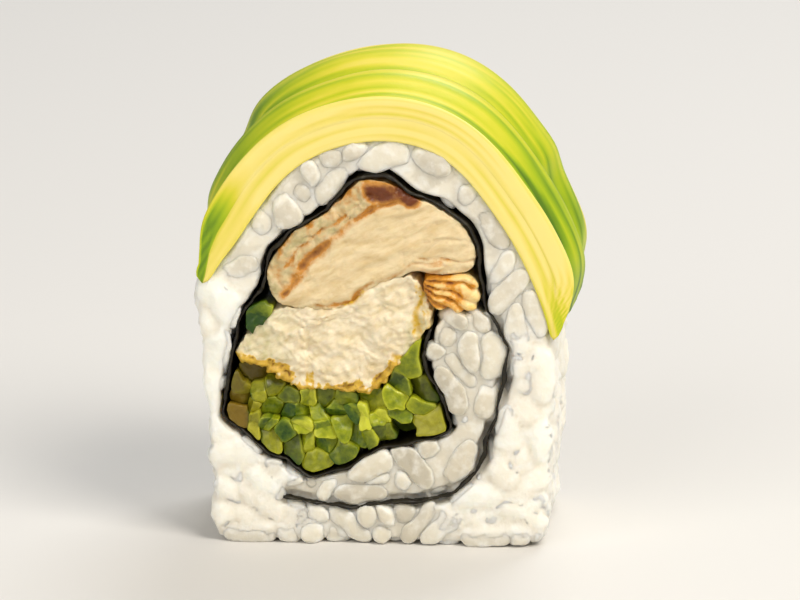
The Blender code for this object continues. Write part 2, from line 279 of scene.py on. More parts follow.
rice = {
    "count": 670,
    "length": 5.2, "width": 2.7, "thickness": 2.35,  # of a cooked short grain, mm
    "sizeSpread": 0.08,
    "packRadius": 1.02,  # half width while the grains are shaken together
    "rounds": 200,
    "reach": 0.6,  # how far inside a cut the outermost middles lie
    "outerRoom": 1.0, "innerRoom": 0.75,  # kept between a grain's core and the mat, or the nori
    "plump": 1.08,  # how much larger a grain is than its share of the packing, before it is pressed
    "bend": 0.4, "taper": 0.14,
    "blunt": 2.3,  # 2 would leave the ends round
    "cutPress": 0.3,  # share of a grain's crown that the knife leaves standing past the cut
    "lift": (-0.5, 0.25),  # how far the knife drags a grain along the cut
    "dents": 0.14, "pits": 0.03,  # depth of the broad and the fine unevenness of a grain
    "crease": 0.03,  # gap between pressed grains
    "bindCell": 0.34,  # how finely the starch is meshed
    "bindWidth": 0.36,  # it fills creases narrower than twice this
    "bindDepth": 0.22,  # how far it lies below the grains
    "bindRise": 0.14,  # how far it stands above them where they are blended
    "bindLumps": 0.18,  # height of the uneven swelling there
    # The third of these sets how much painted shade darkens the faint creases between blended grains.
    "creaseWidth": 0.45, "creaseDepth": 0.12, "creasePaintedShade": 0.3,  # of the faint creases that show there
    "bindClear": 0.22,  # how much deeper it lies by the nori
    "bindNear": -0.05,  # how far from the rice's outline it ends along the nori
    "bindLift": 0.85,  # how far it rises against the avocado
    "shown": 2.2,  # grains of the sides whose middles lie deeper than this can't be seen and are left out
    "coreInset": 0.5,  # how far the core under the grains lies inside the rice's outline
    "blendTop": 22.9,  # above this the grains show again, under the avocado
    "seed": 11,
}


def packGrains():
    rng = np.random.default_rng(rice["seed"])
    low, high = riceLoops[0].min(0), riceLoops[0].max(0)
    reach = halfDepth - rice["reach"]
    middles = np.empty((0, 3))
    while len(middles) < rice["count"]:
        p = rng.uniform([low[0], -reach, low[1]], [high[0], reach, high[1]], (4000, 3))
        inWall = -outerField.read(p)[0]
        offHole = holeField.read(p)[0]
        p = p[np.minimum(inWall, offHole) > rng.uniform(0.3, 1.3, len(p))]
        middles = np.vstack([middles, p])[:rice["count"]]
    half = rice["length"] / 2 - rice["packRadius"]
    axes = rng.normal(size=(len(middles), 3))
    _, nx, nz = outerField.read(middles)
    across = np.stack([nx, np.zeros(len(nx)), nz], axis=1)
    across /= np.linalg.norm(across, axis=1, keepdims=True) + 1e-9
    axes -= across * (np.sum(axes * across, axis=1) * 0.65)[:, None]  # grains lie along the surface
    axes[:, 1] *= np.where(np.abs(middles[:, 1]) > halfDepth - 3, 0.55, 1.0)  # and along the cuts
    axes /= np.linalg.norm(axes, axis=1, keepdims=True)
    thirds = np.array([-1, 0, 1])[None, :, None] * half
    balls = middles[:, None] + axes[:, None] * thirds
    owner = np.repeat(np.arange(len(middles)), 3)
    apart = 2 * rice["packRadius"]
    for turn in range(rice["rounds"]):
        flat = balls.reshape(-1, 3)
        if turn % 8 == 0:
            gaps = np.linalg.norm(flat[:, None] - flat[None], axis=2)
            i, j = np.nonzero(gaps < apart * 1.35)
            keep = (owner[i] < owner[j])
            i, j = i[keep], j[keep]
        between = flat[i] - flat[j]
        size = np.linalg.norm(between, axis=1) + 1e-9
        short = np.maximum(apart - size, 0)
        push = between / size[:, None] * (short * 0.5)[:, None]
        shift, hits = np.zeros_like(flat), np.zeros(len(flat))
        np.add.at(shift, i, push)
        np.add.at(shift, j, -push)
        np.add.at(hits, i, short > 0)
        np.add.at(hits, j, short > 0)
        flat = flat + shift / np.maximum(hits, 1)[:, None] * 1.3
        for field, sign, room in ((outerField, 1, rice["outerRoom"]), (holeField, -1, rice["innerRoom"])):
            d, sx, sz = field.read(flat)
            steep = np.hypot(sx, sz) + 1e-9
            over = np.maximum(d * sign + room, 0) * 0.7 * sign
            flat[:, 0] -= sx / steep * over
            flat[:, 2] -= sz / steep * over
        flat[:, 1] = np.clip(flat[:, 1], -reach, reach)
        balls = flat.reshape(-1, 3, 3)
        middles = balls.mean(axis=1)
        axes = balls[:, 2] - balls[:, 0]
        axes /= np.linalg.norm(axes, axis=1, keepdims=True) + 1e-9
        balls = middles[:, None] + axes[:, None] * thirds
    middles[:, 1] += midDepth
    return middles, axes, rng


def fromCore(points, middle, axis, half):  # how far a grain's core line is, and its nearest place
    along = np.clip(np.sum((points - middle) * axis, axis=-1), -half, half)
    nearest = middle + axis * along[..., None]
    return np.linalg.norm(points - nearest, axis=-1), nearest


def yieldTo(points, field, sign, most, share):  # points past a wall keep a share of what they stand past it
    d, sx, sz = field.read(points)
    steep = np.hypot(sx, sz) + 1e-9
    over = np.maximum(d * sign - most, 0) * (1 - share) * sign
    points[..., 0] -= sx / steep * over
    points[..., 2] -= sz / steep * over


def blended(points):  # 1 where the mat has blended the grains outside the nori, 0 where each one shows
    x, z = points[..., 0], points[..., 2]
    outside = smoothStep(wrapField.read(points)[0] / 0.9)
    under = smoothStep((z + 0.18 * x - rice["blendTop"]) / 4.0)
    foot = smoothStep((4.8 - z) / 1.4) * np.exp(-((x + 1.5) / 7.2) ** 4)
    base = smoothStep((1.9 - z) / 1.4)
    return outside * (1 - 0.85 * under) * (1 - 0.9 * foot) * (1 - 0.6 * base)


def shapeGrains():
    middles, axes, rng = packGrains()
    count = len(middles)
    work = bmesh.new()
    bmesh.ops.create_cube(work, size=2.0)
    bmesh.ops.subdivide_edges(work, edges=work.edges, cuts=8, use_grid_fill=True)
    ball = np.tan(np.array([v.co for v in work.verts]) * math.pi / 4)  # even squares once rounded
    ball /= np.linalg.norm(ball, axis=1, keepdims=True)
    ballFaces = np.array([[v.index for v in f.verts] for f in work.faces])
    ballEdges = np.array([[v.index for v in e.verts] for e in work.edges])
    work.free()

    size = 1 + rng.normal(0, rice["sizeSpread"], (count, 3)).clip(-0.2, 0.2)
    halves = size * np.array([rice["length"], rice["width"], rice["thickness"]]) / 2 * rice["plump"]
    blunt = (np.abs(ball) ** rice["blunt"]).sum(axis=1) ** (-1 / rice["blunt"])
    local = ball[None] * blunt[None, :, None] * halves[:, None]
    bend = rng.uniform(-rice["bend"], rice["bend"], count)
    along = local[:, :, 0] / halves[:, None, 0]
    local[:, :, 1] += bend[:, None] * (along**2 - 0.4)
    taper = rng.uniform(-rice["taper"], rice["taper"], count)
    local[:, :, 1:] *= (1 + taper[:, None] * along)[..., None]
    spin = rng.normal(size=(count, 3))
    second = np.cross(axes, spin)
    second /= np.linalg.norm(second, axis=1, keepdims=True)
    third = np.cross(axes, second)
    turns = np.stack([axes, second, third], axis=1)
    points = middles[:, None] + np.einsum("gvk,gkc->gvc", local, turns)

    # Pressed against the mat, the avocado and the nori, and cut by the knife.
    covered = smoothStep((points[..., 2] - 25.5) / 2.0)  # under the avocado
    yieldTo(points, outerField, 1, 0.1 + 0.1 * covered, 0.35 - 0.25 * covered)
    yieldTo(points, holeField, -1, 0.32, 0.1)
    wall = halfDepth - 0.15
    fromMiddle = points[..., 1] - midDepth
    beyond = np.maximum(np.abs(fromMiddle) - wall, 0)
    # 1 on the knife's cut, where a grain is painted greyer: its glassy cut, and partly painted shade
    wet = smoothStep(beyond / 0.3)
    points[..., 1] = midDepth + np.sign(fromMiddle) * np.where(
        beyond > 0, wall + beyond * rice["cutPress"], np.abs(fromMiddle))

    # Pressed against each other: a point gives way where a neighbour's core is nearer.
    half = halves[:, 0] - halves[:, 1:].mean(axis=1)
    radius = halves[:, 1:].mean(axis=1)
    gaps = np.linalg.norm(middles[:, None] - middles[None], axis=2) + np.eye(count) * 1e6
    near = np.argsort(gaps, axis=1)[:, :15]
    _, core = fromCore(points, middles[:, None], axes[:, None], half[:, None])

    def margin(p):  # how much nearer a point is to its own grain than to the nearest other
        own = fromCore(p, middles[:, None], axes[:, None], half[:, None])[0] - radius[:, None]
        best = np.full(p.shape[:2], 1e9)
        for k in range(near.shape[1]):
            other = near[:, k]
            far = fromCore(p, middles[other][:, None], axes[other][:, None], half[other][:, None])[0]
            best = np.minimum(best, far - radius[other][:, None])
        return best - own

    low, high = np.zeros(points.shape[:2]), np.ones(points.shape[:2])
    free = margin(points) > rice["crease"]
    for _ in range(7):
        middle = (low + high) / 2
        good = margin(core + (points - core) * middle[..., None]) > rice["crease"]
        low, high = np.where(good, middle, low), np.where(good, high, middle)
    share = np.where(free, 1.0, low)
    points = core + (points - core) * share[..., None]

    for _ in range(3):  # softened, as cooked grains have no sharp edges
        total, hits = np.zeros_like(points), np.zeros(len(ball))
        for a, b in (ballEdges.T, ballEdges.T[::-1]):
            np.add.at(total, (slice(None), a), points[:, b])
            np.add.at(hits, a, 1)
        points = points * 0.4 + total / hits[None, :, None] * 0.6
    onCut = smoothStep((np.abs(points[..., 1] - midDepth) - wall + 1.2) / 1.0)
    soft = blended(points)
    lift = rng.uniform(*rice["lift"], count)[:, None] * onCut * (1 - 0.75 * soft)
    points[..., 1] += np.sign(points[..., 1] - midDepth) * lift
    spots = points.reshape(-1, 3)
    dent = roughness(spots, 1.4, 2, 31.0) * rice["dents"] + roughness(spots, 0.5, 1, 37.0) * rice["pits"]
    outwards = (points - core).reshape(-1, 3)
    outwards /= np.linalg.norm(outwards, axis=1, keepdims=True) + 1e-6
    points = wandered((spots + outwards * dent[:, None]).reshape(points.shape))
    points[..., 2] = np.maximum(points[..., 2], 0.03)
    tint = np.repeat(rng.uniform(0, 1, count), len(ball)).reshape(count, -1)
    cores = (middles, axes, half, radius, tint[:, 0])
    return cores, points, ballFaces, {"tint": tint, "wet": wet, "blended": soft}


def riceMaterial():
    # Cooked rice: swollen starch that light soaks into. Glassy and greyer where the knife went through a
    # grain, partly painted shade of the cut face, paler over the rest of a grain, partly a painted highlight,
    # and dull white where the mat blended it.
    material, tree, place, read = newMaterial(
        "cookedRice", ("tint", "wet", "blended"), Roughness=0.36, IOR=1.4, Subsurface_Weight=0.85,
        Subsurface_Scale=0.0012, Subsurface_Radius=(1.0, 0.92, 0.8), Coat_Weight=0.14, Coat_Roughness=0.18)
    glassyShade, rim, white = (
        addNode(tree, "ShaderNodeValToRGB", links={"Fac": read["tint"]}, stops=stops).outputs["Color"]
        for stops in ([(0.0, "#c5beac"), (0.5, "#d7cfbc"), (1.0, "#e6dfcc")],
                      [(0.0, "#eae4d2"), (1.0, "#f6f0e1")], [(0.0, "#f1ebdc"), (1.0, "#faf6ea")]))
    loose = addNode(tree, "ShaderNodeMix", data_type="RGBA", links={0: read["wet"], 6: rim, 7: glassyShade})
    both = addNode(tree, "ShaderNodeMix", data_type="RGBA",
                   links={0: read["blended"], 6: loose.outputs[2], 7: white})
    cloud = addNode(tree, "ShaderNodeTexNoise", values={"Scale": 900.0, "Detail": 3.0},
                    links={"Vector": place})
    chalk = addNode(tree, "ShaderNodeMapRange", values={1: 0.48, 2: 0.7, 3: 0.0, 4: 0.5},
                    links={0: cloud.outputs["Fac"]})
    chalky = addNode(tree, "ShaderNodeMix", data_type="RGBA", values={7: hexColour("#fcfaf2")},
                     links={0: chalk.outputs[0], 6: both.outputs[2]})
    fine = addNode(tree, "ShaderNodeTexNoise", values={"Scale": 1500.0, "Detail": 4.0},
                   links={"Vector": place})
    finishMaterial(tree, chalky.outputs[2], fine.outputs["Fac"], 0.5, 0.00025)
    return material


def addModifier(piece, kind, **settings):
    modifier = piece.modifiers.new(kind.lower(), kind)
    for name, value in settings.items():
        setattr(modifier, name, value)


def applied(piece):  # the piece's mesh after its modifiers, which are then dropped
    mesh = bpy.data.meshes.new_from_object(piece.evaluated_get(bpy.context.evaluated_depsgraph_get()))
    piece.modifiers.clear()
    return mesh


def riceCore():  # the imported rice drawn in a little, which the grains lie on
    work = bmesh.new()
    work.from_mesh(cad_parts["rice"].data)
    bmesh.ops.remove_doubles(work, verts=work.verts, dist=1e-6)
    work.normal_update()
    spots, normals = np.array([v.co / mm for v in work.verts]), np.array([v.normal for v in work.verts])
    wall = holeField.read(spots)[0] - outerField.read(spots)[0]
    inset = rice["coreInset"] * np.clip((wall - 0.8) / 2.2, 0.1, 1)  # less where the rice is thin
    spots -= normals * inset[:, None]
    faces = [[v.index for v in f.verts] for f in work.faces]
    work.free()
    return wandered(spots), faces


def creases(spots, cores):  # 1 where two blended grains meet, 0 over their crowns, and the tint of each one
    middles, axes, half, radius, tint = cores
    crease, shade = np.empty(len(spots)), np.empty(len(spots))
    for start in range(0, len(spots), 3000):
        part = slice(start, start + 3000)
        far = fromCore(spots[part, None], middles[None], axes[None], half[None])[0] - radius
        order = np.argpartition(far, 1, axis=1)[:, :2]
        first, second = np.take_along_axis(far, order, axis=1).T
        crease[part] = np.exp(-((second - first) / rice["creaseWidth"]) ** 2)
        shade[part] = tint[order[:, 0]]
    return crease, shade


def bindStarch(points, faces, material, cores):  # soft starch fills the narrow creases between the grains
    core, coreFaces = riceCore()
    tiles = np.concatenate([faces + n * points.shape[1] for n in range(len(points))]).tolist()
    joined = np.vstack([points.reshape(-1, 3), core])
    tiles += [[i + points.shape[0] * points.shape[1] for i in f] for f in coreFaces]
    raw = bpy.data.meshes.new("riceStarch")
    raw.from_pydata((joined * mm).tolist(), [], tiles)
    starch = bpy.data.objects.new("riceStarch", raw)
    bpy.context.scene.collection.objects.link(starch)
    addModifier(starch, "REMESH", mode="VOXEL", voxel_size=rice["bindCell"] * mm)
    addModifier(starch, "DISPLACE", mid_level=0.0, strength=rice["bindWidth"] * mm)
    addModifier(starch, "REMESH", mode="VOXEL", voxel_size=rice["bindCell"] * mm)
    addModifier(starch, "SMOOTH", factor=0.5, iterations=4)
    starch.data = mesh = applied(starch)
    count = len(mesh.vertices)
    co, normal = np.empty(count * 3), np.empty(count * 3)
    mesh.vertices.foreach_get("co", co)
    mesh.vertices.foreach_get("normal", normal)
    co, normal = co.reshape(-1, 3) / mm, normal.reshape(-1, 3)
    before = unwandered(co)
    soft = blended(before)
    crease, shade = np.zeros(count), np.full(count, 0.45)
    mild = soft > 0.05
    crease[mild], shade[mild] = creases(before[mild], cores)
    lumps = rice["bindLumps"] * np.maximum(roughness(co, 1.5, 3, 41.0), -0.15)
    above = lumps + rice["bindRise"] + rice["bindDepth"] - rice["creaseDepth"] * crease
    depth = rice["bindDepth"] - above * soft
    clear = smoothStep(1.5 - noriField.read(before)[0] / 0.4)  # clear of the nori
    depth += rice["bindClear"] * clear * (1 - 0.6 * np.abs(normal[:, 1]))
    off, slopeX, slopeZ = holeField.read(before)
    facing = -(normal[:, 0] * slopeX + normal[:, 2] * slopeZ) / (np.hypot(slopeX, slopeZ) + 1e-9)
    facing = np.maximum(facing, 0) ** 2
    hollow = np.clip(off + (rice["bindWidth"] + depth) * facing - rice["bindNear"], 0, 0.9)
    depth -= hollow * facing * smoothStep((1.8 - off) / 0.6)  # but close along it where no grain lies
    covered = smoothStep((before[:, 2] - 23) / 2) * smoothStep((outerField.read(before)[0] + 1.6) / 0.8)
    depth -= rice["bindLift"] * covered * (1 - np.abs(normal[:, 1])) ** 2
    co -= normal * (rice["bindWidth"] + depth)[:, None]
    co[:, 2] = np.maximum(co[:, 2], 0.06)
    mesh.vertices.foreach_set("co", (co * mm).ravel())
    mesh.update()
    # On the starch: a fixed share of the greyer cut colour, which is partly painted shade, and painted shade
    # in the faint creases.
    addMarks(mesh, {"tint": shade, "wet": np.full(count, 0.6),
                    "blended": soft * (1 - rice["creasePaintedShade"] * crease)})
    mesh.materials.clear()
    mesh.materials.append(material)
    mesh.shade_smooth()
    enterPiece(starch, ("rice",))
    print("starch", len(mesh.polygons), "faces")


def buildRice():
    material = riceMaterial()
    cores, points, faces, marks = shapeGrains()
    middles = cores[0]
    deep = -outerField.read(middles)[0]
    groups = {
        "riceGrainsFront": middles[:, 1] < midDepth - halfDepth + 3.4,
        "riceGrainsBack": middles[:, 1] > midDepth + halfDepth - 3.4,
    }
    atCuts = groups["riceGrainsFront"] | groups["riceGrainsBack"]
    groups["riceGrainsSides"] = ~atCuts & (deep < rice["shown"])
    for name, chosen in groups.items():
        which = np.nonzero(chosen)[0]
        tiles = np.concatenate([faces + n * points.shape[1] for n in range(len(which))])
        makePiece(name, points[which].reshape(-1, 3), tiles, material,
                  {m: v[which].ravel() for m, v in marks.items()}, ("rice",))
        print(name, len(which), "grains", len(tiles) * 2, "triangles")
    bindStarch(points, faces, material, cores)


buildRice()


# Nori: a thin pressed sheet of seaweed, softened by the rice, with a slightly ragged cut edge.

nori = {
    "thickness": 0.22,
    "uneven": 0.85,  # how much its thickness varies
    "wave": 0.16, "ripple": 0.07,  # how far it wanders between the grains
    "ragged": 0.4,  # how far its cut edge falls back in places
    "step": 0.3,
    "rows": 16,
}


def noriMaterial():
    # Nori: dried seaweed pressed flat like paper. Almost black and dull, browner where its fibres are thin.
    material, tree, place, _ = newMaterial("pressedNori", Roughness=0.42, IOR=1.45, Specular_IOR_Level=0.4)
    fibres = addNode(tree, "ShaderNodeTexNoise", values={"Scale": 1400.0, "Detail": 4.0},
                     links={"Vector": place})
    shade = addNode(tree, "ShaderNodeValToRGB", stops=[(0.35, "#100c07"), (0.7, "#2b2613")],
                    links={"Fac": fibres.outputs["Fac"]})
    finishMaterial(tree, shade.outputs["Color"], fibres.outputs["Fac"], 0.5, 0.0001)
    return material


def buildNori():
    line = smoothLine(noriPath, nori["step"], closed=False, blur=0)
    out = sideways(line, closed=False)
    shares = np.linspace(-1, 1, nori["rows"] + 1)
    shares = np.sign(shares) * np.abs(shares) ** 0.8  # rows lie closer near the cuts
    points, faces = [], []
    for k, share in enumerate(shares):
        y = midDepth + share * halfDepth
        spots = [(x, y, z) for x, z in line]
        wander = roughness(spots, 3.2, 2, 5.0) * nori["wave"] + roughness(spots, 0.9, 2, 7.0) * nori["ripple"]
        thick = nori["thickness"] / 2 * (1 + nori["uneven"] * roughness(spots, 1.3, 3, 2.0))
        torn = np.maximum(roughness(spots, 1.1, 3, 9.0) + 0.35, 0) * nori["ragged"] * (abs(share) == 1)
        deep = y - np.sign(share) * torn
        for side in (1, -1):
            flat = line + out * (wander + side * thick)[:, None]
            points.append(np.stack([flat[:, 0], deep, flat[:, 1]], axis=1))
    count = len(line)
    points = wandered(np.concatenate(points))
    for k in range(nori["rows"]):  # a, b, c and d stand round the sheet's section from cut to cut
        a, d, b, c = ((2 * k + n) * count for n in range(4))
        for i in range(count - 1):
            faces += [(a + i, a + i + 1, b + i + 1, b + i), (c + i, c + i + 1, d + i + 1, d + i)]
        faces += [(a, b, c, d), tuple(n + count - 1 for n in (d, c, b, a))]
    for start, turn in ((0, 1), (2 * nori["rows"] * count, -1)):
        for i in range(start, start + count - 1):
            faces.append((i, i + count, i + count + 1, i + 1)[::turn])
    makePiece("noriSheet", points, faces, noriMaterial(), {}, ("nori",))
    print("nori done")


buildNori()


# Avocado: ripe slices fanned over the arch, each one's back edge lying on the next.

avocado = {
    "step": 0.35,  # between stations along the arch
    "settle": 0.3,  # how far each slice sinks onto what carries it
    "tuck": 0.35,  # how far the front slice sinks into the one that carries it
    "tipLength": 1.3,  # over which a slice rounds off at its tip
    "recede": 2.2,  # how far a tip draws back towards a slice's free edge
    "freeRound": 0.35,  # how far the rounding of a free edge reaches in
    "cutRound": 0.1,
    "lip": 0.2,  # how far a free edge curls up
    "knifeLines": 0.07,  # height of the faint lines along each slice
    "swell": 0.3,
    "narrow": 0.3,  # share by which the back slices thin out on the arch's flanks
    # Greener lines along each slice; the first line of slices 2 and 3, just behind the edge lying over it, is
    # partly painted shadow. Place and width as shares of the half depth, strength.
    "greenAndShadowLines": {
        1: [], 2: [(-0.91, 0.05, 0.3), (-0.51, 0.03, 0.16), (-0.24, 0.03, 0.1)],
        3: [(0.13, 0.06, 0.34), (0.48, 0.04, 0.16), (0.77, 0.03, 0.1)], 4: [(0.8, 0.04, 0.2)],
    },
}


def archLine():  # the rice's outline under the avocado, from left to right
    loop = smoothLine(riceLoops[0], 0.4, blur=6)
    low = min(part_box(f"avocado_slice_{n}")[0].z for n in (1, 2, 3, 4)) / mm - 2.0
    top = loop[np.argmax(loop[:, 1])]
    onTop = loop[loop[:, 1] > low]
    turn = np.arctan2(onTop[:, 1] - (low + 6), -(onTop[:, 0] - top[0]))
    return onTop[np.argsort(np.where(turn < -1.5, turn + 2 * math.pi, turn))]


def avocadoMaterial():
    # Ripe avocado: butter yellow by the stone, lime towards the skin, with painted highlights along raised
    # edges and painted shadow behind them. Smooth and oily, with a soft glow.
    material, tree, place, read = newMaterial(
        "ripeAvocado", ("greenAndPaintedLight", "streak"), Roughness=0.46, IOR=1.42, Subsurface_Weight=0.3,
        Subsurface_Scale=0.0007, Subsurface_Radius=(1.0, 0.9, 0.35), Coat_Weight=0.05, Coat_Roughness=0.25)
    cloud = addNode(tree, "ShaderNodeTexNoise", values={"Scale": 240.0, "Detail": 3.0},
                    links={"Vector": place})
    wander = addNode(tree, "ShaderNodeMath", operation="MULTIPLY_ADD", values={1: 0.2, 2: -0.1},
                     links={0: cloud.outputs["Fac"]})
    ripeness = addNode(tree, "ShaderNodeMath", operation="ADD",
                       links={0: read["greenAndPaintedLight"], 1: wander.outputs[0]})
    streaked = addNode(tree, "ShaderNodeMath", operation="MULTIPLY_ADD", values={1: 0.42},
                       links={0: read["streak"], 2: ripeness.outputs[0]})
    flesh = addNode(tree, "ShaderNodeValToRGB", links={"Fac": streaked.outputs[0]}, stops=[
        (0.0, "#f3e186"), (0.2, "#ebd968"), (0.4, "#dbd13a"), (0.56, "#c5c91c"), (0.74, "#a3b909"),
        (0.9, "#7b9c06"), (1.0, "#557a06")])
    fine = addNode(tree, "ShaderNodeTexNoise", values={"Scale": 1300.0, "Detail": 3.0},
                   links={"Vector": place})
    finishMaterial(tree, flesh.outputs["Color"], fine.outputs["Fac"], 0.25, 0.0001)
    return material


def sliceHeights(node, arch, out, ys):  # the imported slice's underside and top above the arch, at every place
    work = bmesh.new()
    work.from_mesh(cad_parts[node].data)
    tree = BVHTree.FromBMesh(work)
    work.free()
    low = np.full((len(arch), len(ys)), np.nan)
    high = low.copy()
    for i, ((x, z), (nx, nz)) in enumerate(zip(arch, out)):
        way = Vector((nx, 0, nz))
        for k, y in enumerate(ys):
            start = Vector((x, y, z)) * mm - way * mm
            hit, _, _, far = tree.ray_cast(start, way, 12 * mm)
            if hit is None:
                continue
            low[i, k] = far / mm - 1
            again, _, _, more = tree.ray_cast(hit + way * 1e-5, way, 8 * mm)
            if again is not None:
                high[i, k] = (far + more + 1e-5) / mm - 1
    return low, high


def spread(grid):  # fills unknown places from the nearest known ones along the arch
    for k in range(grid.shape[1]):
        known = np.nonzero(~np.isnan(grid[:, k]))[0]
        if len(known):
            grid[:, k] = np.interp(np.arange(len(grid)), known, grid[known, k])
    return grid


def blurAlong(values, rounds):
    for _ in range(rounds):
        padded = np.concatenate([values[:1], values, values[-1:]])
        values = (padded[:-2] + 2 * padded[1:-1] + padded[2:]) / 4
    return values


def sliceRing(front, back, freeFront, freeBack, flush):  # (y, kind, thickness share) round a cross-section
    def edge(y, into, free):  # from the underside to the top
        if not free:
            corner = avocado["cutRound"] * into
            foot = (0.06, 0.12) if flush and into > 0 else (0.03, 0.09)
            return [(y + corner, 0, 0.0), (y + corner * 0.3, 0, foot[0]),
                    *((y, 0, w) for w in (foot[1], 0.26, 0.42, 0.58, 0.74, 0.91)),
                    (y + corner * 0.3, 0, 0.97), (y + corner, 0, 1.0)]
        reach = min(avocado["freeRound"], (back - front) * 0.4) * into
        turns = np.linspace(-math.pi / 2, math.pi / 2, 9)
        return [(y + reach * (1 - math.cos(t)), 0, 0.5 + 0.5 * math.sin(t)) for t in turns]
    atFront, atBack = edge(front, 1, freeFront), edge(back, -1, freeBack)
    between = np.linspace(0, 1, max(4, int((back - front) / 0.45)) + 1)[1:-1]
    ring = [*((y, 1, 0.0) for y in front + (back - front) * between), *atBack]
    ring += [*((y, 2, 1.0) for y in (front + (back - front) * between)[::-1]), *atFront[::-1]]
    inner = [atFront[-1][0], atBack[0][0]]
    return [(min(max(y, inner[0]), inner[1]) if kind else y, kind, w) for y, kind, w in ring]


def cutGreen(number, share, w):  # on a cut face: 0 butter yellow, 1 the green just under the skin
    outer = (w + (number in (1, 3))) / 2  # through both of the slices that the cut goes through
    left, right = smoothStep((0.24 - share) / 0.14), smoothStep((share - 0.84) / 0.14)
    # Greener towards the outer side, then paler again at the very outer edge: a painted highlight there.
    rim = smoothStep((outer - 0.34) / 0.3) * (1 - 0.5 * smoothStep((outer - 0.9) / 0.06))
    return 0.06 + 0.72 * left * rim + 0.16 * left + 0.42 * right * (0.45 + 0.55 * outer)


def topGreen(number, share, y, front, back):  # on a slice's top: greener down the flanks and along its lines, with a painted highlight along its back edge
    tip = min(share, 1 - share)
    right = math.exp(-((share - 0.81) / 0.16) ** 2)
    left = math.exp(-((share - 0.2) / 0.13) ** 2)
    across = (y - front) / (back - front)
    green = 0.48 + 0.29 * right * smoothStep(across / 0.45) + 0.26 * left
    green += 0.25 * smoothStep((0.12 - tip) / 0.12)
    for place, width, strength in avocado["greenAndShadowLines"][number]:
        off = (y - midDepth) / halfDepth - place
        green += strength * math.exp(-(off / width) ** 2) * (0.5 + 0.5 * max(left, right))
    ridgeHighlight = smoothStep((y - back + 0.6) / 0.4)  # a painted highlight along the edge that stands up
    return green * (1 - ridgeHighlight) + 0.2 * ridgeHighlight


def greenness(number, share, y, w, kind, front, back, freeFront, freeBack):
    if kind != 0:
        return topGreen(number, share, y, front, back) if w == 1 else 0.5
    atFront = y < (front + back) / 2
    if freeFront if atFront else freeBack:  # the rim under a raised edge is greener, partly painted shadow, and pales to a painted highlight at its top
        return 0.8 - 0.62 * smoothStep((w - 0.45) / 0.4)
    return cutGreen(number, share, w)


def sliceSpan(number, span=None):  # a packed slice's heights over the arch, from first station to last
    boxLow, boxHigh = (corner.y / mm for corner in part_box(f"avocado_slice_{number}"))
    arch = smoothLine(archLine(), avocado["step"], closed=False, blur=4)
    out = -sideways(arch, closed=False)
    columns = np.linspace(boxLow + 0.15, boxHigh - 0.15, max(4, int((boxHigh - boxLow) / 0.9)))
    low, high = sliceHeights(f"avocado_slice_{number}", arch, out, columns)
    if span is None:
        real = np.nonzero(~np.isnan(low).all(axis=1) & ~np.isnan(high).all(axis=1))[0]
        span = (real[0] - 1, real[-1] + 2)
    low, high = (blurAlong(spread(grid[span[0]:span[1]]), 4) for grid in (low, high))
    return {"number": number, "front": boxLow, "back": boxHigh, "span": span, "columns": columns,
            "arch": arch[span[0]:span[1]], "out": out[span[0]:span[1]],
            "low": low - avocado["settle"], "high": high}


def across(part, key, columns):  # a slice's heights at other depths
    return np.stack([np.interp(columns, part["columns"], row) for row in part[key]])


def layOn(part, under):  # the slice's underside comes down on the rice, and on the top of the slice under it
    columns = part["columns"]
    rice = np.minimum(part["low"], 0.1)
    if under is None:
        part["low"] = rice
        return
    top = np.full_like(part["low"], np.nan)
    heights = across(under, "high", columns) - avocado["settle"]
    for i in range(len(heights)):
        at = i + part["span"][0] - under["span"][0]
        if 0 <= at < len(heights):
            top[i] = heights[at]
    top = spread(top)
    near = smoothStep((columns - under["front"] + 0.8) / 1.6)
    part["low"] = np.minimum(rice * (1 - near) + top * near, part["low"])


def roundTips(part):  # 0 along the slice, rising in a round to 1 at its tips
    fromTip = np.minimum(np.arange(len(part["low"])), np.arange(len(part["low"]))[::-1]) * avocado["step"]
    return 1 - np.sqrt(1 - (1 - np.minimum(fromTip / avocado["tipLength"], 1)) ** 2)[:, None]


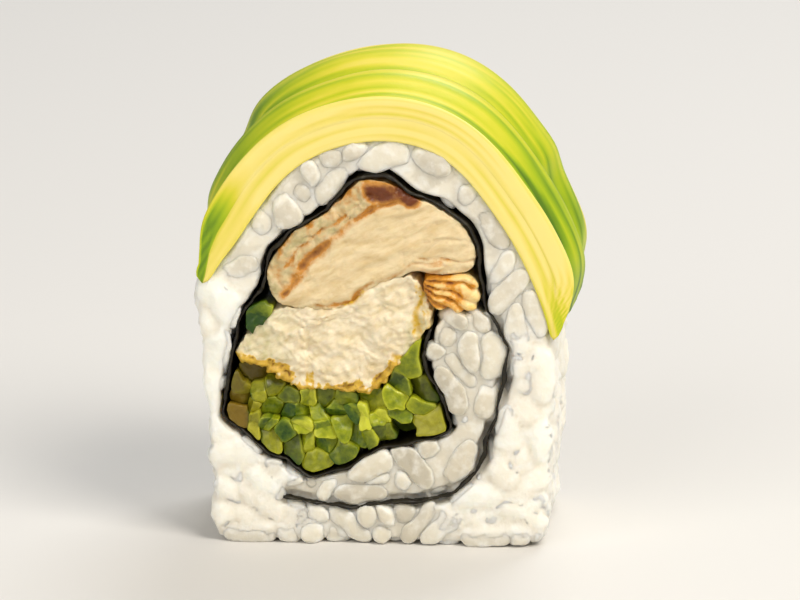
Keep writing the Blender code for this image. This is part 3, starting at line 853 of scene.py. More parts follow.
def buildSlice(part, material):
    number, yFront, yBack = part["number"], part["front"], part["back"]
    node = f"avocado_slice_{number}"
    freeFront = yFront > midDepth - halfDepth + 0.5
    freeBack = yBack < midDepth + halfDepth - 0.5 and number != 1
    count = len(part["arch"])
    ring = sliceRing(yFront, yBack, freeFront, freeBack, number == 1)
    seed = number * 13.7
    points, green, streaks = [], [], []
    for i in range(count):
        share = i / (count - 1)
        inner = smoothStep(min(share, 1 - share) / 0.25)
        for y, kind, w in ring:
            through = (y - yFront) / (yBack - yFront)
            draw = freeBack * through**2 + freeFront * (1 - through) ** 2
            draw = avocado["recede"] / avocado["step"] * draw
            at = draw + share * (count - 1 - 2 * draw)  # the tip draws back towards a free edge
            k = min(int(at), count - 2)
            here = {key: part[key][k] * (k + 1 - at) + part[key][k + 1] * (at - k)
                    for key in ("arch", "out", "low", "high")}
            base = np.interp(y, part["columns"], here["low"])
            t = np.interp(y, part["columns"], here["high"]) - base
            along = at * avocado["step"]
            ripple = noise.noise((along / 9.0, seed, 0)) * 0.5 * smoothStep(min(share, 1 - share) / 0.1)
            if number > 1:
                t += avocado["swell"] * inner * w
            if freeBack:
                t += avocado["lip"] * math.exp(-((yBack - y) / 0.6) ** 2) * inner
            height = base + t * w
            fine = math.sin((y + base) * 8.0 + noise.noise((along / 7.0, y, seed)) * 3.0)
            lines = noise.noise((along / 15.0, y * 2.2, seed)) * 0.75 + 0.25 * fine
            slack = ripple * (through * freeBack + (1 - through) * freeFront)
            if kind == 0 and 0 < w < 1:  # on the cut, lines follow the slice too
                lines = noise.noise((along / 15.0, height * 2.6, 29.4)) * 0.8 + 0.3 * math.sin(height * 9.0)
                slack += 0.4 * avocado["knifeLines"] * lines * (1 if through < 0.5 else -1)
                lines *= 1 - 0.75 * smoothStep((0.24 - share) / 0.1)
            elif w == 1.0:
                height += lines * avocado["knifeLines"] * min(1.0, t)
                height += noise.noise((along / 6.0, y / 4.0, seed + 4)) * 0.22 * min(1.0, t / 2)
            x, z = here["arch"] + here["out"] * height
            points.append((x, y + slack - 0.02 * (number == 1), z))
            green.append(float(greenness(number, share, y, w, kind, yFront, yBack, freeFront, freeBack)))
            streaks.append(lines)
    size = len(ring)
    grid = np.array(points).reshape(count, size, 3)
    outer = [k for k, (_, _, w) in enumerate(ring) if w > 0.85]
    grid[4:-4, outer] = blurAlong(grid[:, outer], 14)[4:-4]
    faces = []
    for i in range(count - 1):
        for k in range(size):
            a, b = i * size + k, i * size + (k + 1) % size
            faces.append((a, a + size, b + size, b))
    faces.append(list(range(size)))
    faces.append(list(range((count - 1) * size, count * size))[::-1])
    makePiece(f"avocadoSlice{number}", grid.reshape(-1, 3), faces, material,
              {"greenAndPaintedLight": green, "streak": streaks}, (node,))


def buildAvocado():
    material = avocadoMaterial()
    second = sliceSpan(2)
    span = (second["span"][0], second["span"][1] + 3)
    first, second, third, fourth = sliceSpan(1, span), sliceSpan(2, span), sliceSpan(3), sliceSpan(4)
    layOn(second, third)
    layOn(third, fourth)
    layOn(fourth, None)
    for part in (third, fourth):
        fall = part["arch"][:, 1].max() - part["arch"][:, 1]
        narrow = avocado["narrow"] * smoothStep((fall - 4.5 - 3.0 * (part["arch"][:, 0] > 0)) / 2.0)[:, None]
        part["high"] -= (part["high"] - part["low"]) * narrow
        thin = roundTips(part)
        thick = part["high"] - part["low"]
        part["low"] = part["low"] + 0.3 * thin * thick
        part["high"] = part["low"] + thick * (1 - 0.96 * thin)
    # The front slice lies on the second one, and at the front cut both end in one tip.
    thin, lower = roundTips(second), second["low"]
    edge = smoothStep((first["back"] + 0.4 - second["columns"]) / 0.8)
    both = np.maximum(across(first, "high", second["columns"]), second["high"])
    whole = second["high"] * (1 - edge) + both * edge - lower
    second["low"] = lower + 0.3 * thin * whole
    second["high"] = second["low"] + (second["high"] - lower) * (1 - 0.96 * thin)
    top = across({**second, "high": second["low"] + whole * (1 - 0.96 * thin)}, "high", first["columns"][:1])
    fallen = np.maximum(first["high"][:, :1] - first["high"], 0)
    first["high"] = top - fallen * (1 - thin)
    first["low"] = across(second, "high", first["columns"]) - avocado["tuck"] * (1 - thin)
    for part in (first, second, third, fourth):
        buildSlice(part, material)
    print("avocado done")


buildAvocado()


# Fillings: pieces that run from cut to cut, with a torn or cut relief on both cut faces.

filling = {
    "spacing": 0.2,  # between the points of a cut face
    "rows": 22,  # from cut to cut
    "grow": 0.34,  # how far a piece fills the gap round its solid
    "swell": 0.1,  # how much thicker it is between the cuts
    "lumps": 0.15,
}


def spreadPoints(outline, spacing, rng):  # points over an outline's inside, on a jittered staggered grid
    low, high = outline.min(0), outline.max(0)
    rows = np.arange(low[1] + spacing / 2, high[1], spacing * 0.87)
    spots = [(x + (0.5 * spacing if k % 2 else 0), z) for k, z in enumerate(rows)
             for x in np.arange(low[0] + spacing / 2, high[0], spacing)]
    spots = np.array(spots) + rng.uniform(-0.15, 0.15, (len(spots), 2)) * spacing
    return spots[borderDistance(spots, outline) < -spacing * 0.55]


def fillOutline(outline, inner):  # triangles over an outline, as indices into outline then inner points
    flat = np.vstack([outline, inner])
    edges = [(i, (i + 1) % len(outline)) for i in range(len(outline))]
    result = delaunay_2d_cdt([Vector(p) for p in flat], edges, [], 0, 1e-6)
    where = [o[0] for o in result[3]]
    tiles = np.array([[where[i] for i in f] for f in result[2]])
    inside = borderDistance(flat[tiles].mean(axis=1), outline) < 0
    tiles = tiles[inside]
    a, b, c = (flat[tiles[:, k]] for k in range(3))
    turn = (b[:, 0] - a[:, 0]) * (c[:, 1] - a[:, 1]) - (b[:, 1] - a[:, 1]) * (c[:, 0] - a[:, 0])
    tiles[turn < 0] = tiles[turn < 0][:, ::-1]
    return tiles  # anticlockwise in (x, z), so facing -Y


def strokeReach(flat, path, width, seed):  # 1 along a path over the section, 0 a wandering width away
    wobble = roughness(np.insert(flat, 1, seed, axis=1), 1.3, 2, seed)
    return smoothStep(1 - (pathDistance(flat, path) + 0.25 * wobble) / (width * (1 + 0.4 * wobble)))


def throughPiece(name, node, relief, marks, material, fray):
    rng = np.random.default_rng(len(name))
    spacing, rows = filling["spacing"], filling["rows"]
    outline = smoothLine(cutLoops(node)[0], spacing, blur=1)
    outline = smoothLine((outline + sideways(outline) * filling["grow"])[::3], spacing, blur=2)
    outline = smoothLine(outline + sideways(outline) * fray(outline)[:, None], spacing, blur=0)
    inner = spreadPoints(outline, spacing, rng)
    tiles = fillOutline(outline, inner)
    flat = np.vstack([outline, inner])
    inwards = np.maximum(-borderDistance(flat, outline), 0)
    out = sideways(outline)
    points, shades = [], {mark: [] for mark in marks}
    for side in (-1, 1):
        y = midDepth + side * (halfDepth + relief(flat, inwards, side))
        points.append(np.stack([flat[:, 0], y, flat[:, 1]], axis=1))
        for mark, shade in marks.items():
            shades[mark].append(shade(flat, inwards, side))
    faces = [tuple(t) for t in tiles] + [tuple(t[::-1] + len(flat)) for t in tiles]
    count, start = len(outline), 2 * len(flat)
    frontRim, backRim = points[0][:count, 1], points[1][:count, 1]
    rims = {mark: (values[0][:count] + values[1][:count]) / 2 for mark, values in shades.items()}
    last = np.arange(count)
    for row in range(1, rows + 1):
        if row == rows:
            ring = np.arange(count) + len(flat)
        else:
            ring = np.arange(count) + start
            start += count
            share = 0.5 - 0.5 * math.cos(row / rows * math.pi)  # rows lie closer near the cuts
            y = frontRim + (backRim - frontRim) * share
            spots = np.stack([outline[:, 0], y, outline[:, 1]], axis=1)
            edge = min(share, 1 - share) * 2 * halfDepth
            lumps = filling["swell"] * smoothStep(edge / 2.5)
            lumps += filling["lumps"] * roughness(spots, 2.2, 2, 3.0) * smoothStep(edge / 0.8)
            grown = outline + out * lumps[:, None]
            points.append(np.stack([grown[:, 0], y, grown[:, 1]], axis=1))
            for mark in marks:
                shades[mark].append(rims[mark])
        faces += [(last[(i + 1) % count], last[i], ring[i], ring[(i + 1) % count]) for i in range(count)]
        last = ring
    points = wandered(np.concatenate(points))
    shades = {mark: np.clip(np.concatenate(values), 0, 1) for mark, values in shades.items()}
    makePiece(name, points, faces, material, shades, (node,))


# Chicken: a grilled slice folded over a pulled, crumbly chunk that is golden along its lower edge.

chicken = {
    "grain": math.radians(24),  # the way that the fibres run across the cut
    "flap": [(1.4, 36.6), (-4.6, 32.2), (-8.4, 28.7), (-11.6, 25.4)],  # past it lies the slice's outer side
    "fan": (1.6, 27.6),  # where the browned strip's strands spread from
    "strands": 17.0,
    # Seams over the cuts: path (x, z), width, depth, how browned, which is partly crust and partly painted
    # shade in the grooves.
    "upperSeams": [
        ([(0.4, 36.2), (-4.8, 32.2), (-8.6, 28.7), (-11.2, 25.8)], 0.95, 0.2, 0.5),
        ([(-6.2, 31.0), (-7.6, 29.9), (-9.0, 28.6)], 0.7, 0.25, 0.78),
        ([(-9.8, 27.2), (-11.0, 25.9)], 0.5, 0.2, 0.7), ([(0.2, 35.4), (-3.2, 33.4)], 0.5, 0.2, 0.66),
        ([(-1.8, 36.0), (-6.8, 32.4), (-10.6, 28.6)], 0.3, 0.3, 0.5),
        ([(-1.4, 36.4), (0.8, 36.6), (1.9, 35.8)], 1.3, 0.1, 1.3),
        ([(-4.1, 31.2), (-4.3, 28.2)], 0.2, 0.12, 0.1), ([(1.1, 32.5), (1.5, 29.2)], 0.18, 0.1, 0.06),
        ([(3.4, 31.4), (8.8, 32.0)], 0.2, 0.15, 0.16), ([(3.0, 29.7), (8.8, 29.5)], 0.3, 0.3, 0.42),
        ([(4.6, 33.2), (8.4, 33.6)], 0.18, 0.12, 0.1),
        ([(-1.0, 27.2), (2.4, 29.1), (5.5, 29.1)], 0.4, 0.2, 0.36),
        ([(-7.2, 24.6), (-3.6, 25.6), (-1.6, 27.2)], 0.45, 0.3, 0.48),
    ],
    "lowerSeams": [
        ([(-5.0, 25.0), (-2.6, 26.2), (-0.8, 27.6)], 0.4, 0.3, 0.5),
        ([(3.2, 25.8), (2.2, 24.0), (2.8, 22.4)], 0.6, 0.3, 0.55),
        ([(0.4, 20.0), (2.4, 19.4)], 0.6, 0.25, 0.6),
        ([(-9.6, 21.6), (-6.0, 22.4)], 0.2, 0.15, 0.05), ([(-3.2, 22.0), (-1.2, 19.8)], 0.22, 0.2, 0.08),
    ],
}


def chickenMaterial(name, pale, deep, gold, brown, olive):
    # Grilled chicken: moist pale fibres, a golden to brown crust where the browning mark is high, which also
    # paints shade along the seams and grooves, and the dull green-brown of skin and juices where "stained" is.
    material, tree, place, read = newMaterial(
        name, ("browned", "stained"), Roughness=0.45, IOR=1.42, Subsurface_Weight=0.25,
        Subsurface_Scale=0.0006, Subsurface_Radius=(1.0, 0.62, 0.38), Coat_Weight=0.08, Coat_Roughness=0.22)
    turned = addNode(tree, "ShaderNodeMapping", vector_type="TEXTURE", links={"Vector": place},
                     values={"Rotation": (0, -chicken["grain"], 0), "Scale": (3.0, 1.0, 1.0)})
    fibres = addNode(tree, "ShaderNodeTexNoise", values={"Scale": 1100.0, "Detail": 5.0, "Roughness": 0.6},
                     links={"Vector": turned.outputs["Vector"]})
    flesh = addNode(tree, "ShaderNodeValToRGB", stops=[(0.32, deep), (0.6, pale)],
                    links={"Fac": fibres.outputs["Fac"]})
    spots = addNode(tree, "ShaderNodeTexNoise", values={"Scale": 700.0, "Detail": 5.0, "Roughness": 0.65},
                    links={"Vector": place})
    level = addNode(tree, "ShaderNodeMath", operation="MULTIPLY_ADD", values={1: 0.9, 2: -0.45},
                    links={0: spots.outputs["Fac"]})
    crust = addNode(tree, "ShaderNodeMath", operation="ADD", links={0: read["browned"], 1: level.outputs[0]})
    shade = addNode(tree, "ShaderNodeValToRGB", links={"Fac": crust.outputs[0]},
                    stops=[(0.15, pale), (0.5, gold), (0.95, brown)])
    amount = addNode(tree, "ShaderNodeMapRange", values={1: 0.1, 2: 0.5}, links={0: crust.outputs[0]})
    stain = addNode(tree, "ShaderNodeMath", operation="MULTIPLY_ADD", use_clamp=True,
                    links={0: spots.outputs["Fac"], 1: read["stained"], 2: read["stained"]})
    dull = addNode(tree, "ShaderNodeMath", operation="MULTIPLY", values={1: 0.6}, links={0: stain.outputs[0]})
    skin = addNode(tree, "ShaderNodeMix", data_type="RGBA", values={7: hexColour(olive)},
                   links={0: dull.outputs[0], 6: flesh.outputs["Color"]})
    mixed = addNode(tree, "ShaderNodeMix", data_type="RGBA",
                    links={0: amount.outputs[0], 6: skin.outputs[2], 7: shade.outputs["Color"]})
    finishMaterial(tree, mixed.outputs[2], fibres.outputs["Fac"], 0.6, 0.00025)
    return material


def alongGrain(flat, seed):  # places stretched along the fibres, for noise that follows them
    turn = chicken["grain"]
    along = flat[:, 0] * math.cos(turn) + flat[:, 1] * math.sin(turn)
    across = -flat[:, 0] * math.sin(turn) + flat[:, 1] * math.cos(turn)
    return np.stack([along / 3.2, np.full(len(flat), seed), across], axis=1)


def inSection(flat, seed):  # places over the section, at a depth of their own
    return np.stack([flat[:, 0], np.full(len(flat), seed), flat[:, 1]], axis=1)


def seamed(height, flat, seams, side):
    for number, (path, width, deep, _) in enumerate(seams):
        height -= deep * strokeReach(flat, path, width, number + side)
    return height


def foldRelief(flat, inwards, side):  # a smooth slice: soft steps along the fibres
    spots = alongGrain(flat, side * 7.0)
    wave = roughness(spots, 2.6, 3, 1.0)
    steps = (spots[:, 2] / 2.9 + 0.35 * wave) % 1.0
    fibres = roughness(spots, 0.5, 3, 8.0)
    flap = pastFlap(flat)
    height = -0.22 + smoothStep(inwards / 0.6) * (0.2 + 0.3 * wave) + 0.16 * steps**3 + 0.09 * fibres
    height += flap * (0.25 * roughness(inSection(flat, side * 3.0), 0.9, 3, 12.0) - 0.1)
    return seamed(height, flat, chicken["upperSeams"], side)


def crumbRelief(flat, inwards, side):  # pulled meat: short flakes and crumbs
    spots = inSection(flat, side * 9.0)
    warp = np.array([noise.noise_vector(p) for p in (spots / 1.4).tolist()]) * 0.8
    cells = [noise.voronoi(p)[0] for p in (spots / 1.25 * [1, 1, 1.2] + warp).tolist()]
    flakes = np.array([min(1.0, (c[1] - c[0]) * 1.7) for c in cells])
    broad, mid, fine = (roughness(spots, *n) for n in ((4.0, 2, 6.0), (1.1, 3, 17.0), (0.45, 2, 2.0)))
    height = -0.25 + smoothStep(inwards / 0.7) * (0.05 + 0.26 * flakes + 0.5 * broad)
    height += 0.22 * mid + 0.1 * fine
    curl = 0.28 + 0.3 * ragged(flat, side, 1.1)
    height += hemShare(flat) * 0.4 * np.exp(-((inwards - curl) / 0.2) ** 2)  # the crisp hem curls up
    return seamed(height, flat, chicken["lowerSeams"], side)


def strands(flat, side):  # along and across the browned strip's strands, and 1 over each one, 0 between
    off = flat - chicken["fan"]
    turn = np.arctan2(off[:, 1], off[:, 0]) + 0.05 * roughness(inSection(flat, side), 1.5, 2, 4.0)
    return np.linalg.norm(off, axis=1), turn, np.abs(np.sin(turn * chicken["strands"] + side))


def stripRelief(flat, inwards, side):
    far, turn, ridges = strands(flat, side)
    fine = roughness(np.stack([far / 2.0, turn * 12, np.full(len(flat), side)], axis=1), 0.6, 2, 5.0)
    return -0.4 + smoothStep(inwards / 0.3) * 0.3 + 0.6 * ridges - 0.1 * far + 0.4 + 0.14 * fine


def pastFlap(flat):  # 1 on the slice's outer side, past the browned seam
    (ax, az), (bx, bz) = chicken["flap"][0], chicken["flap"][-1]
    sag = np.interp(flat[:, 0], *np.array(chicken["flap"][::-1]).T)
    steep = math.hypot(bx - ax, bz - az) / abs(bx - ax)
    return smoothStep((flat[:, 1] - sag) / steep / 0.6) * (flat[:, 0] < 1.6)


def hemShare(flat):  # 1 along the lower edge of the crumbly piece, less along its right
    low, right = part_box("chicken_lower")[0].z / mm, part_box("chicken_lower")[1].x / mm
    down = smoothStep((low + 5.0 - flat[:, 1]) / 2.0)
    aside = 0.6 * smoothStep((flat[:, 0] - right + 2.6) / 1.5)
    return np.maximum(down, aside)


def ragged(flat, side, scale=1.4):
    return roughness(inSection(flat, side * 5.0), scale, 3, 4.0)


def seamBrownAndShade(seams, base):  # darker along the seams, partly browned crust and partly painted shade, and browned wherever base says
    def browning(flat, inwards, side):
        amount = base(flat, inwards, ragged(flat, side))
        for number, (path, width, _, brown) in enumerate(seams):
            amount = np.maximum(amount, brown * strokeReach(flat, path, width * 1.25, number + side))
        return amount
    return browning


def foldBase(flat, inwards, rough):
    return (0.2 * pastFlap(flat) * (1 + rough)
            + 0.2 * np.exp(-inwards / 0.35) * smoothStep((2.0 - flat[:, 0]) / 3.0))


def crumbBase(flat, inwards, rough):  # a golden hem with a browner broken line inside its pale rim
    gold = 0.6 * smoothStep((1.2 + 0.9 * rough - inwards) / 0.4)
    line = (0.62 + 1.1 * rough) * np.exp(-((inwards - 0.6 - 0.5 * rough) / 0.16) ** 2)
    return hemShare(flat) * np.maximum(gold, line)


def stripBase(flat, inwards, rough):  # deepest at the root of the strands, browner between them partly as painted shade in the grooves, pale at the tips
    far, _, over = strands(flat, -1)
    return 0.78 - 0.085 * far + 0.3 * rough + 0.5 * (1 - over) ** 2 * smoothStep((7.5 - far) / 3)


def softFray(outline):
    return 0.1 * roughness(inSection(outline, 2.0), 1.1, 3, 6.0)


def crumbFray(outline):  # crumbly all round, and curly along the hem
    return (0.2 + 0.15 * hemShare(outline)) * roughness(inSection(outline, 4.0), 0.75, 3, 8.0)


def stripFray(outline):  # the tips of the strands stand out
    far, _, over = strands(outline, -1)
    return 0.35 * (over - 0.6) * smoothStep((far - 3.5) / 2)


def foldStain(flat, inwards, side):
    return 0.7 * pastFlap(flat) * (0.7 + 0.7 * ragged(flat, side, 0.9))


def crumbStain(flat, inwards, side):  # green at the left, by the cucumber, and along the lower right
    left = smoothStep((-8.5 - flat[:, 0]) / 4.0)
    tuft = smoothStep((flat[:, 0] - 1.2) / 1.5) * smoothStep((25.0 - flat[:, 1]) / 2.0)
    return (0.3 * left + 0.55 * tuft) * (0.8 + 0.8 * ragged(flat, side, 0.8))


def noStain(flat, inwards, side):
    return np.zeros(len(flat))


def buildChicken():
    upper = chickenMaterial("grilledChicken", "#e7d3a8", "#d8be8b", "#c98c38", "#6a3106", "#9a9152")
    lower = chickenMaterial("pulledChicken", "#efe2c4", "#dbc89c", "#d9b23c", "#80560e", "#929846")
    crisp = chickenMaterial("crispChicken", "#f6dc9c", "#efc568", "#dd9a2c", "#96540e", "#8a6a20")
    for name, node, relief, seams, base, stain, material, slot, fray in (
            ("chickenFold", "chicken_upper", foldRelief, chicken["upperSeams"], foldBase, foldStain,
             upper, "chicken", softFray),
            ("chickenCrumble", "chicken_lower", crumbRelief, chicken["lowerSeams"], crumbBase, crumbStain,
             lower, "chicken", crumbFray),
            ("chickenCrisp", "chicken_side", stripRelief, [], stripBase, noStain,
             crisp, "browned_chicken", stripFray)):
        marks = {"browned": seamBrownAndShade(seams, base), "stained": stain}
        throughPiece(name, node, relief, marks, material, fray)
    print("chicken done")


buildChicken()


# Cucumber: cut into fine sticks and rolled up as a bundle.

cucumber = {
    "apart": 1.8,  # between the middles of neighbouring sticks
    "slack": 1.16,  # how much larger a stick is than its room
    "overlap": 0.02,
    "corners": 36,
    "rows": 9,
    "stagger": 1.15,  # how unevenly the sticks end at the cuts
    "tilt": 0.4,  # slope of the cut ends
    "turn": (-0.78, 0.5),  # the way that the sticks' sides lie in the section, and how much it varies
    "folds": (0.0, 0.35, 0.55),  # slopes of the two facets that the knife or a bend leaves on a cut end
    "stopShort": 0.07, "skinned": 0.28,  # shares of the sticks
    "pastCut": 0.25,  # how far an end may stand past the cut
    "seed": 5,
}


def cucumberMaterial():
    # Fresh cucumber: wet, glassy flesh from yellow-green to dark, browner where the juices soaked in. Sticks
    # from the outside carry dark skin.
    # Painted light: a highlight on one side of each end, one facet of a folded end lighter and the other
    # darker, and shade in the middle of the ends and on sticks that end deep inside.
    material, tree, place, read = newMaterial(
        "freshCucumber", ("tint", "rim", "skin", "soaked"), Roughness=0.3, IOR=1.36, Subsurface_Weight=0.3,
        Subsurface_Scale=0.0006, Subsurface_Radius=(0.9, 1.0, 0.2), Coat_Weight=0.14, Coat_Roughness=0.14)
    cells = addNode(tree, "ShaderNodeTexNoise", values={"Scale": 1300.0, "Detail": 4.0, "Roughness": 0.6},
                    links={"Vector": place})
    mottle = addNode(tree, "ShaderNodeMath", operation="MULTIPLY_ADD", values={1: 0.9, 2: -0.45},
                     links={0: cells.outputs["Fac"]})
    shade = addNode(tree, "ShaderNodeMath", operation="ADD", links={0: read["tint"], 1: mottle.outputs[0]})
    flesh = addNode(tree, "ShaderNodeValToRGB", links={"Fac": shade.outputs[0]}, stops=[
        (0.0, "#26460a"), (0.22, "#52690b"), (0.45, "#7f8c12"), (0.7, "#a4ab1c"), (1.0, "#ccce3c")])
    colour = flesh.outputs["Color"]
    for mark, code in (("rim", "#cfd34c"), ("soaked", "#7a6216"), ("skin", "#2a4c0e")):
        colour = addNode(tree, "ShaderNodeMix", data_type="RGBA", values={7: hexColour(code)},
                         links={0: read[mark], 6: colour}).outputs[2]
    finishMaterial(tree, colour, cells.outputs["Fac"], 0.6, 0.0002)
    return material


def stickSeeds(outline, rng):  # middles of the sticks, evenly loose over the outline
    low, high = outline.min(0), outline.max(0)
    grid = rng.uniform(low, high, (6000, 2))
    grid = grid[borderDistance(grid, outline) < -0.1]
    seeds = []
    for p in grid[borderDistance(grid, outline) < -0.55]:
        if all(np.hypot(*(p - q)) > cucumber["apart"] * rng.uniform(0.65, 1.05) for q in seeds):
            seeds.append(p)
    seeds = np.array(seeds)
    for _ in range(2):
        nearest = np.argmin(np.linalg.norm(grid[:, None] - seeds[None], axis=2), axis=1)
        centres = np.array([grid[nearest == k].mean(0) if (nearest == k).any() else seeds[k]
                            for k in range(len(seeds))])
        seeds = seeds * 0.5 + centres * 0.5
    return seeds


def stickShapes(seeds, outline, rng):  # squarish sections that give way to each other
    count = len(seeds)
    gaps = np.linalg.norm(seeds[:, None] - seeds[None], axis=2) + np.eye(count) * 1e6
    room = np.sort(gaps, axis=1)[:, :4].mean(axis=1) / 2
    turn = rng.normal(*cucumber["turn"], count)
    long = rng.uniform(1.0, 1.5, count)
    sizes = np.stack([room * long, room / long**0.5], axis=1) * cucumber["slack"]

    def depth(p):  # of each place (last axis: stick) inside each stick's own section, 1 at its surface
        off = p[..., None, :] - seeds
        u = off[..., 0] * np.cos(turn) + off[..., 1] * np.sin(turn)
        v = -off[..., 0] * np.sin(turn) + off[..., 1] * np.cos(turn)
        return ((np.abs(u) / sizes[:, 0]) ** 9 + (np.abs(v) / sizes[:, 1]) ** 9) ** (1 / 9)

    angles = np.linspace(0, 2 * math.pi, cucumber["corners"], endpoint=False)
    ways = np.stack([np.cos(angles), np.sin(angles)], axis=1)
    low = np.full((count, len(angles)), 0.15)
    high = np.full((count, len(angles)), 3.0)
    me = np.arange(count)
    for _ in range(9):
        middle = (low + high) / 2
        p = seeds[:, None] + ways[None] * middle[..., None]
        d = depth(p)
        own = d[me, :, me].copy()
        d[me, :, me] = 1e9
        good = (own < 1.1) & (own < d.min(axis=2) + cucumber["overlap"])
        good &= (borderDistance(p.reshape(-1, 2), outline) < 0.2).reshape(good.shape)
        low, high = np.where(good, middle, low), np.where(good, high, middle)
    low = np.minimum(low, (np.roll(low, 1, 1) + 4 * low + np.roll(low, -1, 1)) / 6)
    return [ways * reach[:, None] for reach in low], turn


def soaking(seed, outline, rng):  # browner by the nori, most at both ends of the bundle
    nearNori = smoothStep(1 - (-borderDistance(seed[None], outline)[0] - 0.4) / 1.4)
    ends = max(smoothStep((-10.5 - seed[0]) / 4.0), 0.7 * smoothStep((seed[0] - 1.5) / 4.0))
    return min(1.0, 0.3 * nearNori + 0.75 * ends) * rng.uniform(0.35, 1.0)


def buildCucumber():
    rng = np.random.default_rng(cucumber["seed"])
    material = cucumberMaterial()
    outline = smoothLine(cutLoops("cucumber")[0], 0.4, blur=0)
    lone = smoothLine(cutLoops("cucumber_strip")[0], 0.3, blur=1)
    seeds = stickSeeds(outline, rng)
    sections, turns = stickShapes(seeds, outline, rng)
    shapes = list(zip(seeds, sections, turns))
    uneven = 1.2 + 0.35 * roughness(inSection(lone, 3.0), 0.8, 2, 3.0)[:, None]
    shapes.append((lone.mean(0), (lone - lone.mean(0)) * uneven, 0.5))
    points, faces = [], []
    marks = {"tint": [], "rim": [], "skin": [], "soaked": []}
    # Rings of a cut end: share of the section, rise.
    cap = [(0.12, 0.0), (0.4, 0.0), (0.7, 0.0), (0.95, 0.0), (1.0, -0.05)]
    stations = [(scale, -1.0, rise) for scale, rise in cap]
    stations += [(1.0, share, 0.0) for share in np.linspace(-0.95, 0.95, cucumber["rows"])]
    stations += [(scale, 1.0, rise) for scale, rise in reversed(cap)]
    for number, (seed, shape, turn) in enumerate(shapes):
        ends = rng.uniform(-cucumber["stagger"], 0.15, 2)
        ends -= 1.3 * (rng.uniform(size=2) < cucumber["stopShort"])
        tilt = rng.uniform(-cucumber["tilt"], cucumber["tilt"], (2, 2))
        fold = rng.choice(cucumber["folds"], 2) * rng.choice([-1, 1], 2)
        foldWay = turn + rng.choice([0, math.pi / 2, math.pi / 4], 2)
        tint = rng.uniform(0.2, 0.9) + 0.16 * math.exp(-((seed[0] + 4.5) / 4.0) ** 2)
        # Sticks that end deep inside are painted darker: painted shade in their recess.
        tint -= 0.15 * (ends.min() < -1.0)
        # A painted shade darkens the middle of each end, for the look into the glassy flesh.
        glassyShade = rng.uniform(0.0, 0.3)
        skinWay, hasSkin = rng.uniform(0, 2 * math.pi), rng.uniform() < cucumber["skinned"]
        highlightWay = 0.9 + rng.normal(0, 0.7)
        soaked = soaking(seed, outline, rng)
        if number == len(seeds):
            tint, soaked, hasSkin, ends = 0.2, 0.0, True, np.array([-0.1, -0.3])
        start, corners = len(points), len(shape)
        for scale, share, rise in stations:
            which = int(share > 0)
            for q in shape * scale:
                at = seed + q
                pulp = noise.noise((at[0] * 1.4, number * 3.0 + which, at[1] * 1.4)) * 0.15
                side = q[0] * math.cos(foldWay[which]) + q[1] * math.sin(foldWay[which])
                end = ends[which] + rise + tilt[which] @ q + pulp - abs(side) * fold[which]
                if end > 0:
                    end = cucumber["pastCut"] * math.tanh(end / cucumber["pastCut"])
                end += halfDepth
                y = midDepth + share * (end if abs(share) == 1 else halfDepth - 0.8 + ends[which] * 0.8)
                sway = noise.noise_vector((seed[0] / 9, y / 9, seed[1] / 9)) * 0.35
                points.append((at[0] + sway.x, y, at[1] + sway.z))
                way = math.atan2(q[1], q[0])
                outer = smoothStep((scale - 0.6) / 0.35)
                # One facet of a folded end is painted lighter and the other darker: painted light and shade.
                facetLightShade = 0.16 * (1 if side > 0 else -1) * (fold[which] != 0) * (scale > 0.2)
                marks["tint"].append(tint + facetLightShade - glassyShade * (1 - outer))
                # A painted highlight on the outer part of an end, on one side.
                marks["rim"].append(0.4 * outer * max(0.0, math.cos(way - highlightWay)) ** 3)
                marks["skin"].append(hasSkin * max(0.0, math.cos(way - skinWay)) ** 2 * outer * 0.9)
                marks["soaked"].append(soaked)
        last = len(stations) - 1
        for r in range(last):
            for c in range(corners):
                a, b = start + r * corners + c, start + r * corners + (c + 1) % corners
                faces.append((b, a, a + corners, b + corners))
        ring = list(range(start, start + corners))
        faces.append(ring)
        faces.append([i + last * corners for i in reversed(ring)])
    makePiece("cucumberSticks", wandered(points), faces, material, marks,
              ("cucumber", "cucumber_strip"))
    print("cucumber done", len(shapes), "sticks", len(faces) * 2, "triangles")


buildCucumber()


# A plain pale table, soft studio light, and the camera level with the food.

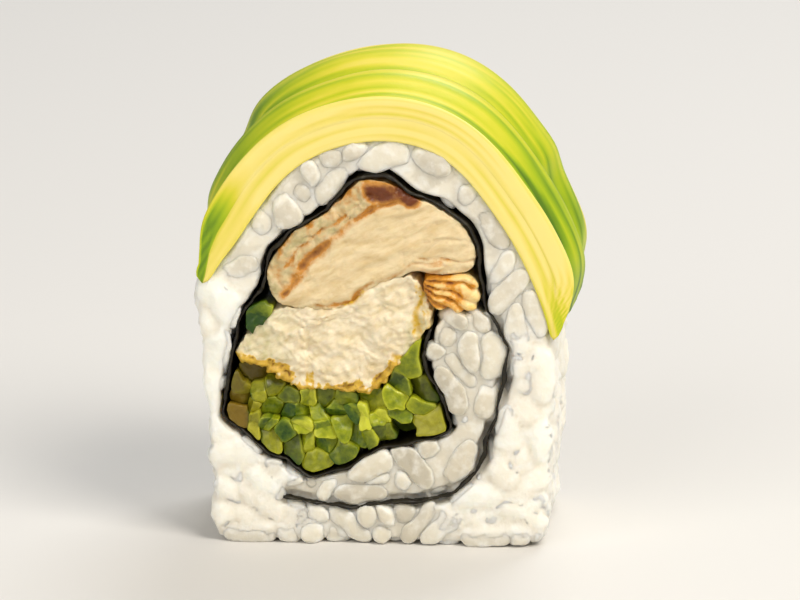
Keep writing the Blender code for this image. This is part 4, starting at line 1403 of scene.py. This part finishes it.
studio = {
    "azimuth": 5.0, "elevation": 14.2,  # of the camera round the piece, degrees
    "distance": 673.0,
    "lens": 300.0,
    "aim": (0.2, 0.0, 22.9),
    # Azimuth, elevation, distance, size, power and colour of each lamp.
    "lamps": [("keyLight", 48, 46, 600, 280, 2.65, "#fff8ee"),
              ("fillLight", -32, 26, 700, 500, 1.65, "#fffaf3"),
              ("backLight", 160, 50, 600, 300, 1.6, "#ffffff")],
    "lampAim": (0, 0, 22),
    "air": "#f2f3f5",
    "airPower": 0.36,
}


def buildFloor():
    # Matt painted board: plain and pale, so that only the contact shadow shows.
    material = newMaterial("paleBoard", Roughness=0.75, Specular_IOR_Level=0.25,
                           Base_Color=hexColour("#dedcd8"))[0]
    bpy.ops.mesh.primitive_plane_add(size=3.0, location=(0, 0, 0))
    floor = bpy.context.object
    floor.name = "floor"
    floor.data.materials.append(material)


def placeRound(name, data, azimuth, elevation, distance, aim):  # faces aim from a distance in mm
    piece = bpy.data.objects.new(name, data)
    bpy.context.scene.collection.objects.link(piece)
    a, e = math.radians(azimuth), math.radians(elevation)
    way = Vector((math.sin(a) * math.cos(e), -math.cos(a) * math.cos(e), math.sin(e)))
    piece.location = (Vector(aim) + way * distance) * mm
    piece.rotation_euler = way.to_track_quat("Z", "Y").to_euler()
    return piece


def buildStudio():
    buildFloor()
    for name, azimuth, elevation, distance, size, power, colour in studio["lamps"]:
        lamp = bpy.data.lights.new(name, "AREA")
        lamp.size, lamp.energy, lamp.color = size * mm, power, hexColour(colour)[:3]
        placeRound(name, lamp, azimuth, elevation, distance, studio["lampAim"])
    world = bpy.data.worlds.new("studioAir")
    bpy.context.scene.world = world
    world.use_nodes = True
    air = world.node_tree.nodes["Background"].inputs
    air["Color"].default_value, air["Strength"].default_value = hexColour(studio["air"]), studio["airPower"]
    camera = placeRound("camera", bpy.data.cameras.new("camera"), studio["azimuth"], studio["elevation"],
                        studio["distance"], studio["aim"])
    camera.data.lens = studio["lens"]
    camera.data.sensor_width = 36.0
    camera.data.clip_start, camera.data.clip_end = 0.01, 10.0
    bpy.context.scene.camera = camera
    bpy.context.scene.view_settings.view_transform = "Standard"
    print("studio done")


buildStudio()
